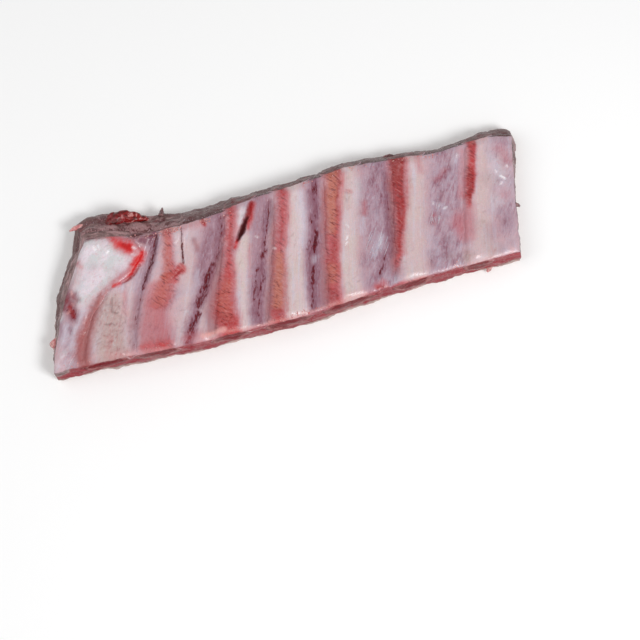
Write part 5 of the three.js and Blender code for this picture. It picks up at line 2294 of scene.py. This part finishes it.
@dataclass
class FatLayer(Piece):
    """The layer of fat under the meat, down to the surface that the rack lies on."""

    name: str = "fat_layer"
    slot_name: str = "fat"
    stands_for: tuple[str, ...] = ("fat_cover",)
    columns: int = 400
    rows: int = 100
    wall_rows: int = 8
    proud: float = 0.25
    tuck: float = 1.6
    overlap: float = 0.6
    dimple: float = 0.22
    wall_pattern: float = 90.0

    def build(self) -> None:
        """Builds the underside, the side of the layer and its hidden top."""
        form = self.form
        loop = RimLoop(self.columns, self.rows)
        s, v = loop.grid()
        x, y, _, inward = form.plan(s, v)
        rim_s, rim_v = loop.shares()
        foot = form.wall(rim_s, rim_v, np.ones(len(rim_s)))
        x, y = self.spread(s, v, foot, x, y)
        dimple = self.dimple + 0.2 * fractal(x, y, 9.0, 401, 3) + 0.08 * fractal(x, y, 2.2, 409, 2)
        z = np.maximum(dimple * fade(0.0, 3.0, inward), 0.0)
        shell = Shell(loop, np.stack([x, y, z], axis=1), flat(x, y))
        rim_x, rim_y, top, _ = form.surface(rim_s, rim_v)
        seam = 1.0 - form.fat_top(rim_x, rim_y) / top
        walk = walked(rim_x, rim_y)
        for k in range(1, self.wall_rows + 1):
            share = k / self.wall_rows
            bulge = self.proud * math.sin(math.pi * min(share, 0.92))
            ring = form.wall(rim_s, rim_v, blend(1.0, seam, share), bulge)
            shell.ring(ring, flat(walk, self.wall_pattern + ring[:, 2]), share, seam)
        inner = form.wall(rim_s, rim_v, seam, -self.tuck)
        inner[:, 2] -= self.overlap
        shell.ring(inner, shell.grains[-1], 1.0, seam)
        points, faces = shell.whole()
        layers = {"cut": np.concatenate(shell.cuts)}
        self.place(self.make(points, faces, layers, np.concatenate(shell.grains)))

    def spread(self, s: Array, v: Array, foot: Array, x: Array, y: Array) -> tuple[Array, Array]:
        """Carries the face grid's rim out to the foot of the walls, and the rest with it.

        Args:
            s: Share along the rack of each grid point.
            v: Share across it.
            foot: Foot of the walls, in the order of the rim.
            x: Plan x of the grid.
            y: Plan y of the grid.

        Returns:
            The new plan x and y.
        """
        n, m = self.columns, self.rows
        grid = np.stack([x, y], axis=1).reshape(n + 1, m + 1, 2)
        foot = foot[:, :2]
        front = foot[: n + 1] - grid[:, 0]
        right = foot[n : n + m + 1] - grid[n]
        back = foot[n + m : 2 * n + m + 1][::-1] - grid[:, m]
        left = np.concatenate([foot[2 * n + m :], foot[:1]])[::-1] - grid[0]
        a = s.reshape(n + 1, m + 1)[..., None]
        b = v.reshape(n + 1, m + 1)[..., None]
        long_part = front[:, None] * (1 - b) + back[:, None] * b
        end_part = left[None] * (1 - a) + right[None] * a
        corner = (front[0] * (1 - a) + front[-1] * a) * (1 - b) + (back[0] * (1 - a) + back[-1] * a) * b
        shift = (long_part + end_part - corner).reshape(-1, 2)
        return x + shift[:, 0], y + shift[:, 1]


@dataclass(frozen=True)
class Lobe:
    """One lobe of a lump: its middle, its size and its turn in the plan."""

    x: float
    y: float
    z: float
    length: float
    width: float
    height: float
    turn: float


@dataclass
class Lump(Piece):
    """Lobes of loose meat or fat grown together."""

    lobes: tuple[Lobe, ...] = ()
    segments: int = 48
    crag: float = 0.09
    fine_crag: float = 0.35
    voxel: float = 0.45

    def skin(self) -> bpy.types.Mesh:
        """Joins the lobes into one closed skin.

        Returns:
            The skin's mesh, in plan millimetres.
        """
        work = bmesh.new()
        for lobe in self.lobes:
            ball = bmesh.ops.create_uvsphere(
                work, u_segments=self.segments, v_segments=self.segments // 2, radius=0.5
            )
            for vertex in ball["verts"]:
                p = vertex.co
                swell = self.form.ripple(np.array(p.x * 26 + lobe.x), np.array(p.y * 22 + p.z * 31))
                p = p * (1.0 + self.crag * float(swell))
                sized = Vector((p.x * lobe.length, p.y * lobe.width, p.z * lobe.height))
                vertex.co = Matrix.Rotation(lobe.turn, 3, "Z") @ sized + Vector((lobe.x, lobe.y, lobe.z))
        mesh = bpy.data.meshes.new(self.name)
        work.to_mesh(mesh)
        work.free()
        rough = self.link(mesh)
        remesh = rough.modifiers.new("skin", "REMESH")
        remesh.mode = "VOXEL"
        remesh.voxel_size = self.voxel
        view = bpy.context.evaluated_depsgraph_get()
        skin = bpy.data.meshes.new_from_object(rough.evaluated_get(view))
        bpy.data.objects.remove(rough)
        return skin

    def build(self) -> None:
        """Roughens the skin of the lobes."""
        skin = self.skin()
        points = vectors(skin, "co").astype(float)
        x, y, z = points.T
        rough_by = fractal(x + 2.0 * z, y + z, 3.2, 503, 3)
        points = points + vectors(skin, "normal") * (self.fine_crag * rough_by)[:, None]
        faces = [tuple(face.vertices) for face in skin.polygons]
        # Red, lit share rising to the right; the dark lump's right side is lit and less oxidised.
        layers = {"lit_red": fade(-81.0, -74.0, points[:, 0])}
        self.place(self.make(points, faces, layers, points))


@dataclass
class MeatLump(Lump):
    """The dark lump on the sloping back wall."""

    name: str = "meat_lump"
    slot_name: str = "dark_meat"
    stands_for: tuple[str, ...] = ("back_meat_lump",)
    lobes: tuple[Lobe, ...] = (
        Lobe(-81, 39.0, 10.4, 13, 7.6, 9, 0.2),
        Lobe(-73.4, 38.2, 10.6, 12.5, 6.4, 8, -0.35),
        Lobe(-87, 38.4, 9.0, 9, 5.6, 6.4, 0.5),
        Lobe(-77.4, 41.0, 11.6, 8, 4.0, 5.2, 0.1),
        Lobe(-70.6, 38.8, 12.0, 6.4, 3.4, 4.2, -0.7),
        Lobe(-82.8, 41.2, 12.4, 5.4, 3.2, 3.4, 0.6),
        Lobe(-67.0, 36.6, 10.0, 5.4, 3.2, 4.4, -0.5),
    )


@dataclass
class FatScrap(Lump):
    """The small scrap that stands out of the left wall."""

    name: str = "fat_scrap"
    slot_name: str = "fat"
    stands_for: tuple[str, ...] = ("side_fat_scrap",)
    lobes: tuple[Lobe, ...] = (
        Lobe(-122.8, -13.2, 8.6, 8.4, 5, 4.6, 0.3),
        Lobe(-122, -15.6, 7.6, 7.4, 4, 4.4, 0.1),
    )


@dataclass
class TornShreds(Piece):
    """Thin torn tongues on the cut edges: rows of x, y, z, half width and half thickness."""

    shreds: tuple[Stations, ...] = ()
    steps: int = 18
    sides: int = 14
    rough: float = 0.22

    def tongue(self, rows: Stations) -> Array:
        """Rings of one shred, from its root to its tip.

        Args:
            rows: The shred's own rows.

        Returns:
            A plan position and height for each point of each ring.
        """
        t = np.linspace(0.0, len(rows) - 1.0, self.steps)
        stations = np.column_stack([np.arange(len(rows)), np.asarray(rows, float)])
        line = np.stack([along(stations, t, item) for item in range(1, 6)], axis=1)
        heading = np.gradient(line[:, :3], axis=0)
        side = np.stack([-heading[:, 1], heading[:, 0], 0.0 * t], axis=1)
        side /= np.maximum(np.linalg.norm(side, axis=1, keepdims=True), 1e-6)
        over = np.cross(heading, side)
        over /= np.maximum(np.linalg.norm(over, axis=1, keepdims=True), 1e-6)
        turn = 2.0 * np.pi * np.arange(self.sides) / self.sides
        wide = line[:, 3, None] * np.cos(turn)
        thick = line[:, 4, None] * np.sin(turn)
        rough_by = fractal(turn[None, :] * 2.0 + t[:, None], t[:, None] * 4.0 + line[0, 0], 1.1, 701, 3)
        swell = 1.0 + self.rough * rough_by
        points = line[:, None, :3] + side[:, None] * (wide * swell)[..., None]
        return points + over[:, None] * (thick * swell)[..., None]

    def build(self) -> None:
        """Builds every shred as a closed skin."""
        points: list[Array] = []
        faces: Faces = []
        count = self.steps * self.sides
        for number, rows in enumerate(self.shreds):
            points.append(self.tongue(rows).reshape(-1, 3))
            rings = (number * count + np.arange(count)).reshape(self.steps, self.sides)
            for near, far in zip(rings, rings[1:]):
                faces += ring_faces(near, far)
            faces += [tuple(rings[0].tolist()), tuple(rings[-1].tolist())]
        placed = np.concatenate(points)
        level = 0.0 * placed[:, 0]
        # Dark shreds take the wall colour: a little lit red flesh, mostly grey-brown painted shade.
        layers = {"cut": level + 1.0, "lit_red": level + 0.3, "depth": level + 0.4}
        self.place(self.make(placed, faces, layers, placed))


@dataclass
class PaleShreds(TornShreds):
    """Pale tongues: one beside the lump and one at the right end of the front wall."""

    name: str = "pale_shreds"
    slot_name: str = "fat"
    shreds: tuple[Stations, ...] = (
        ((-96.4, 39.2, 9.8, 1.7, 1.1), (-98.6, 40.2, 10.6, 1.5, 0.8), (-101.8, 40.3, 10.2, 1.1, 0.5),
         (-104.6, 39.7, 9.6, 0.3, 0.2)),
        ((94.6, -28.4, 3.2, 1.6, 0.9), (93.8, -29.8, 2.8, 1.2, 0.7), (92.8, -30.8, 2.4, 0.5, 0.4)),
    )


@dataclass
class DarkShreds(TornShreds):
    """Dark tongues: two on the back wall and one on the right wall."""

    name: str = "dark_shreds"
    slot_name: str = "lean_meat"
    shreds: tuple[Stations, ...] = (
        ((-58.4, 35.6, 11, 1.6, 1.1), (-57.6, 38.0, 10.4, 1.0, 0.8), (-57.0, 39.9, 9.8, 0.3, 0.2)),
        ((57, 36, 9.6, 2.2, 1.4), (60, 36.8, 9.2, 2, 1.1), (63, 36.2, 8.8, 0.8, 0.6)),
        ((114.6, -2.2, 9, 1.2, 0.9), (115.8, -2.8, 8.8, 0.9, 0.7), (116.6, -3.6, 8.4, 0.5, 0.4)),
    )


@dataclass
class GeometryPiece(Piece):
    """A piece that Geometry Nodes make on a carrier mesh."""

    def tree(self, sizes: Sizes) -> tuple[Graph, Wire, dict[str, Wire]]:
        """Starts a tree with one geometry input and named size inputs.

        Args:
            sizes: Socket type and value of each size, by name.

        Returns:
            The graph, its geometry and its sizes.
        """
        group = bpy.data.node_groups.new(self.name, "GeometryNodeTree")
        face = group.interface
        face.new_socket(name="Geometry", in_out="INPUT", socket_type="NodeSocketGeometry")
        face.new_socket(name="Geometry", in_out="OUTPUT", socket_type="NodeSocketGeometry")
        for name, (kind, _) in sizes.items():
            face.new_socket(name=name, in_out="INPUT", socket_type=kind)
        graph = Graph(group)
        entry = graph.node("NodeGroupInput")
        wires = {name: graph.out(entry, name) for name in sizes}
        return graph, graph.out(entry, "Geometry"), wires

    def finish_tree(self, graph: Graph, geometry: Wire) -> None:
        """Ends a tree: real copies, smooth faces and the material.

        Args:
            graph: The tree's graph.
            geometry: What the tree has made.
        """
        real = graph.out(graph.node("GeometryNodeRealizeInstances", {}, {"Geometry": geometry}))
        smooth = graph.out(graph.node("GeometryNodeSetShadeSmooth", {}, {"Geometry": real}))
        inputs = {"Geometry": smooth, "Material": self.finish.material}
        dressed = graph.out(graph.node("GeometryNodeSetMaterial", {}, inputs))
        graph.node("NodeGroupOutput", {}, {"Geometry": dressed})

    def grow(self, carrier: bpy.types.Mesh, graph: Graph, sizes: Sizes) -> bpy.types.Object:
        """Runs the tree on the carrier and keeps the result as a plain mesh.

        Args:
            carrier: Mesh that the tree starts from.
            graph: The tree's graph.
            sizes: Socket type and value of each size, by name.

        Returns:
            The piece's object.
        """
        ground = self.link(carrier)
        modifier = ground.modifiers.new("shape", "NODES")
        modifier.node_group = graph.tree
        for item in graph.tree.interface.items_tree:
            if item.in_out == "INPUT" and item.name in sizes:
                modifier[item.identifier] = sizes[item.name][1]
        view = bpy.context.evaluated_depsgraph_get()
        mesh = bpy.data.meshes.new_from_object(ground.evaluated_get(view))
        bpy.data.objects.remove(ground)
        mesh.name = self.name
        store(mesh, "grain", vectors(mesh, "co") / MM)
        return self.link(mesh)


@dataclass
class RimCrumbs(GeometryPiece):
    """Crumbs of fat and bone dust that the saw left along the rims."""

    name: str = "rim_crumbs"
    slot_name: str = "fat"
    crumb: float = 0.00042
    density: float = 2.4e6
    seed: int = 7
    turn_seed: int = 3
    columns: int = 240
    rows: int = 4
    depth: float = 0.045
    ends: tuple[float, float] = (0.02, 0.98)

    def strewn(self, side: Side, x: Array, y: Array) -> Array:
        """How thickly the crumbs lie.

        Args:
            side: The rim.
            x: Plan x.
            y: Plan y.

        Returns:
            Shares of the full density.
        """
        patchy = fade(0.1, 0.7, fractal(x, y, 11.0, 601, 2) + 0.2)
        if side is Side.FRONT:
            return patchy * (0.25 + 0.75 * Stroke(((-54, -31, 6), (-40, -30, 6)), 1.0, 4).mask(x, y))
        return patchy * (0.1 + 0.9 * fade(-30.0, -42.0, x) * fade(-66.0, -58.0, x))

    def carrier(self) -> bpy.types.Mesh:
        """Strips of the bone side along the rims.

        Returns:
            Their mesh, which says how thickly they are strewn.
        """
        form = self.form
        loop = RimLoop(self.columns, self.rows)
        points: list[Array] = []
        strewn: list[Array] = []
        faces: Faces = []
        for side, inner in ((Side.FRONT, self.depth), (Side.BACK, 1.0 - self.depth)):
            lengthwise = np.linspace(*self.ends, self.columns + 1)
            s, v = lattice(lengthwise, np.linspace(side.value, inner, self.rows + 1))
            x, y, z, _ = form.surface(s, v)
            faces += loop.faces(sum(len(part) for part in points))
            points.append(np.stack([x, y, z], axis=1))
            strewn.append(self.strewn(side, x, y))
        mesh = bpy.data.meshes.new("crumb_ground")
        mesh.from_pydata(to_frame(np.concatenate(points)).tolist(), [], faces)
        store(mesh, "strewn", np.concatenate(strewn))
        return mesh

    def build(self) -> None:
        """Scatters small uneven crumbs on the strips."""
        sizes: Sizes = {
            "Crumb Size": ("NodeSocketFloat", self.crumb),
            "Density": ("NodeSocketFloat", self.density),
            "Seed": ("NodeSocketInt", self.seed),
        }
        graph, ground, wires = self.tree(sizes)
        layer = graph.node("GeometryNodeInputNamedAttribute", {"data_type": "FLOAT"}, {"Name": "strewn"})
        density = graph.out(layer, "Attribute") * wires["Density"]
        inputs = {"Mesh": ground, "Density": density, "Seed": wires["Seed"]}
        spots = graph.node("GeometryNodeDistributePointsOnFaces", {"distribute_method": "RANDOM"}, inputs)
        ball = graph.node("GeometryNodeMeshIcoSphere", {}, {"Radius": wires["Crumb Size"], "Subdivisions": 2})
        swell = {"Min": (0.35, 0.35, 0.3), "Max": (1.5, 1.2, 0.8), "Seed": wires["Seed"]}
        scale = graph.node("FunctionNodeRandomValue", {"data_type": "FLOAT_VECTOR"}, swell)
        turn = {"Min": (0.0, 0.0, 0.0), "Max": (6.28, 6.28, 6.28), "Seed": self.turn_seed}
        spin = graph.node("FunctionNodeRandomValue", {"data_type": "FLOAT_VECTOR"}, turn)
        inputs = {
            "Points": graph.out(spots, "Points"),
            "Instance": graph.out(ball, "Mesh"),
            "Rotation": graph.out(spin, "Value"),
            "Scale": graph.out(scale, "Value"),
        }
        crumbs = graph.node("GeometryNodeInstanceOnPoints", {}, inputs)
        self.finish_tree(graph, graph.out(crumbs, "Instances"))
        self.place(self.grow(self.carrier(), graph, sizes))


@dataclass(frozen=True)
class Thread:
    """A line of sinew on the bone side: where it starts, where it ends and its bow."""

    start: tuple[float, float]
    finish: tuple[float, float]
    bow: float = 0.0


@dataclass
class SinewThreads(GeometryPiece):
    """Fine pale threads of sinew in the membrane between the ribs."""

    name: str = "sinew_threads"
    slot_name: str = "fat"
    radius: float = 0.00012
    sides: int = 6
    steps: int = 16
    lift: float = 0.04
    seed: int = 19

    def threads(self) -> list[Thread]:
        """Slanting threads between the fifth, sixth and seventh rib.

        Returns:
            The threads, the same ones each run.
        """
        draw = np.random.default_rng(self.seed)
        found = []
        for _ in range(18):
            x = draw.uniform(40.0, 49.0)
            y = draw.uniform(-8.0, 4.0)
            size = draw.uniform(3.0, 8.0)
            lean = draw.uniform(0.5, 0.8)
            found.append(Thread((x, y), (x - lean * size, y - size), draw.uniform(-0.4, 0.4)))
        for _ in range(12):
            x = draw.uniform(71.0, 78.0)
            y = draw.uniform(0.0, 9.0)
            size = draw.uniform(2.0, 5.0)
            found.append(Thread((x, y), (x - 0.45 * size, y - size), draw.uniform(-0.4, 0.4)))
        return found

    def carrier(self) -> bpy.types.Mesh:
        """The threads' lines, laid on the bone side.

        Returns:
            Their mesh of edges alone.
        """
        points: list[list[float]] = []
        edges: list[tuple[int, int]] = []
        t = np.linspace(0.0, 1.0, self.steps + 1)
        for thread in self.threads():
            x = blend(thread.start[0], thread.finish[0], t) + thread.bow * 4 * t * (1 - t)
            y = blend(thread.start[1], thread.finish[1], t)
            fine = self.paint.detail(x, y, self.paint.masks(x, y))
            z = self.form.bone_side(x, y) + fine + self.lift
            first = len(points)
            points += np.stack([x, y, z], axis=1).tolist()
            edges += [(first + k, first + k + 1) for k in range(self.steps)]
        mesh = bpy.data.meshes.new("thread_lines")
        mesh.from_pydata(to_frame(np.array(points)).tolist(), edges, [])
        return mesh

    def build(self) -> None:
        """Gives each line a thin round section that tapers to both ends."""
        sizes: Sizes = {"Radius": ("NodeSocketFloat", self.radius)}
        graph, lines_in, wires = self.tree(sizes)
        curve = graph.out(graph.node("GeometryNodeMeshToCurve", {}, {"Mesh": lines_in}), "Curve")
        share = graph.out(graph.node("GeometryNodeSplineParameter"), "Factor")
        taper = graph.math("SINE", share * math.pi)
        curve = graph.out(graph.node("GeometryNodeSetCurveRadius", {}, {"Curve": curve, "Radius": taper}))
        circle = {"Resolution": self.sides, "Radius": wires["Radius"]}
        ring = graph.out(graph.node("GeometryNodeCurvePrimitiveCircle", {}, circle), "Curve")
        inputs = {"Curve": curve, "Profile Curve": ring, "Fill Caps": True, "Scale": taper}
        tube = graph.node("GeometryNodeCurveToMesh", {}, inputs)
        self.finish_tree(graph, graph.out(tube, "Mesh"))
        self.place(self.grow(self.carrier(), graph, sizes))


@dataclass(frozen=True)
class Studio:
    """Pale floor, soft lights and the camera at the photo's viewing angle."""

    elevation: float = 80.0
    azimuth: float = -14.4
    lens: float = 85.0
    sensor: float = 36.0
    distance: float = 0.755556
    aim: tuple[float, float, float] = (0.007282, -0.038042, 0.0)
    floor_size: float = 4.0
    floor_drop: float = 0.0002
    floor_level: float = 0.97
    key_place: tuple[float, float, float] = (0.35, -0.45, 0.75)
    key_size: float = 0.3
    key_power: float = 4.7
    fill_place: tuple[float, float, float] = (-0.5, 0.1, 0.8)
    fill_size: float = 0.8
    fill_power: float = 2.6
    world_level: float = 0.42

    def camera(self) -> None:
        """Sets the camera."""
        e = math.radians(self.elevation)
        a = math.radians(self.azimuth)
        back = Vector((math.sin(a) * math.cos(e), -math.cos(a) * math.cos(e), math.sin(e)))
        right = Vector((math.cos(a), math.sin(a), 0.0))
        up = back.cross(right)
        data = bpy.data.cameras.new("camera")
        data.lens = self.lens
        data.sensor_width = self.sensor
        data.clip_start = 0.05
        made = bpy.data.objects.new("camera", data)
        bpy.context.scene.collection.objects.link(made)
        turned = Matrix((right, up, back)).transposed().to_4x4()
        turned.translation = Vector(self.aim) + back * self.distance
        made.matrix_world = turned
        bpy.context.scene.camera = made

    def lamp(self, name: str, place: tuple[float, float, float], size: float, power: float) -> None:
        """Adds one soft square lamp that looks at the rack.

        Args:
            name: The lamp's name.
            place: Where it hangs.
            size: Its width.
            power: Its power in watts.
        """
        data = bpy.data.lights.new(name, "AREA")
        data.shape = "SQUARE"
        data.size = size
        data.energy = power
        made = bpy.data.objects.new(name, data)
        made.location = place
        made.rotation_euler = Vector(place).to_track_quat("Z", "Y").to_euler()
        bpy.context.scene.collection.objects.link(made)

    def floor(self) -> None:
        """Adds the plain pale floor."""
        mesh = bpy.data.meshes.new("floor")
        h = self.floor_size / 2
        mesh.from_pydata([(-h, -h, 0), (h, -h, 0), (h, h, 0), (-h, h, 0)], [], [(0, 1, 2, 3)])
        made = bpy.data.objects.new("floor", mesh)
        made.location.z = -self.floor_drop
        bpy.context.scene.collection.objects.link(made)
        material = bpy.data.materials.new("pale_floor")
        material.use_nodes = True
        surface = material.node_tree.nodes["Principled BSDF"]
        surface.inputs["Base Color"].default_value = (*[self.floor_level] * 3, 1.0)
        surface.inputs["Roughness"].default_value = 0.9
        mesh.materials.append(material)

    def build(self) -> None:
        """Sets the world, the lights, the floor and the camera."""
        scene = bpy.context.scene
        scene.view_settings.view_transform = "Standard"
        world = bpy.data.worlds.new("studio")
        world.use_nodes = True
        sky = world.node_tree.nodes["Background"]
        sky.inputs["Color"].default_value = (1.0, 1.0, 1.0, 1.0)
        sky.inputs["Strength"].default_value = self.world_level
        scene.world = world
        self.lamp("key", self.key_place, self.key_size, self.key_power)
        self.lamp("fill", self.fill_place, self.fill_size, self.fill_power)
        self.floor()
        self.camera()


def main() -> None:
    """Builds every piece in order, then the studio."""
    logging.basicConfig(level=logging.INFO, format="%(name)s: %(message)s")
    form = RackForm()
    paint = BoneSidePaint(form)
    palette = Palette()
    wet = Wetness()
    face = BoneSideFinish("membrane_and_meat", palette, wet)
    bone = RibFinish("membrane_and_bone", palette, wet)
    plate = PlateFinish("cartilage", palette, Wetness(roughness=0.3, coat=0.34))
    fat = FatFinish("fat", palette, Wetness(roughness=0.42))
    lump = LumpFinish("dark_meat", palette, wet)
    scrap = ScrapFinish("pink_scraps", palette, wet)
    LeanMeat(form, paint, face).build()
    for number in range(1, len(form.ribs) + 1):
        RibBone(form, paint, bone, number=number).build()
    CartilagePlate(form, paint, plate).build()
    FatLayer(form, paint, fat).build()
    MeatLump(form, paint, lump).build()
    FatScrap(form, paint, scrap).build()
    PaleShreds(form, paint, scrap).build()
    DarkShreds(form, paint, face).build()
    RimCrumbs(form, paint, scrap).build()
    SinewThreads(form, paint, SinewFinish("sinew", palette, wet)).build()
    Studio().build()


if __name__ == "__main__":
    main()
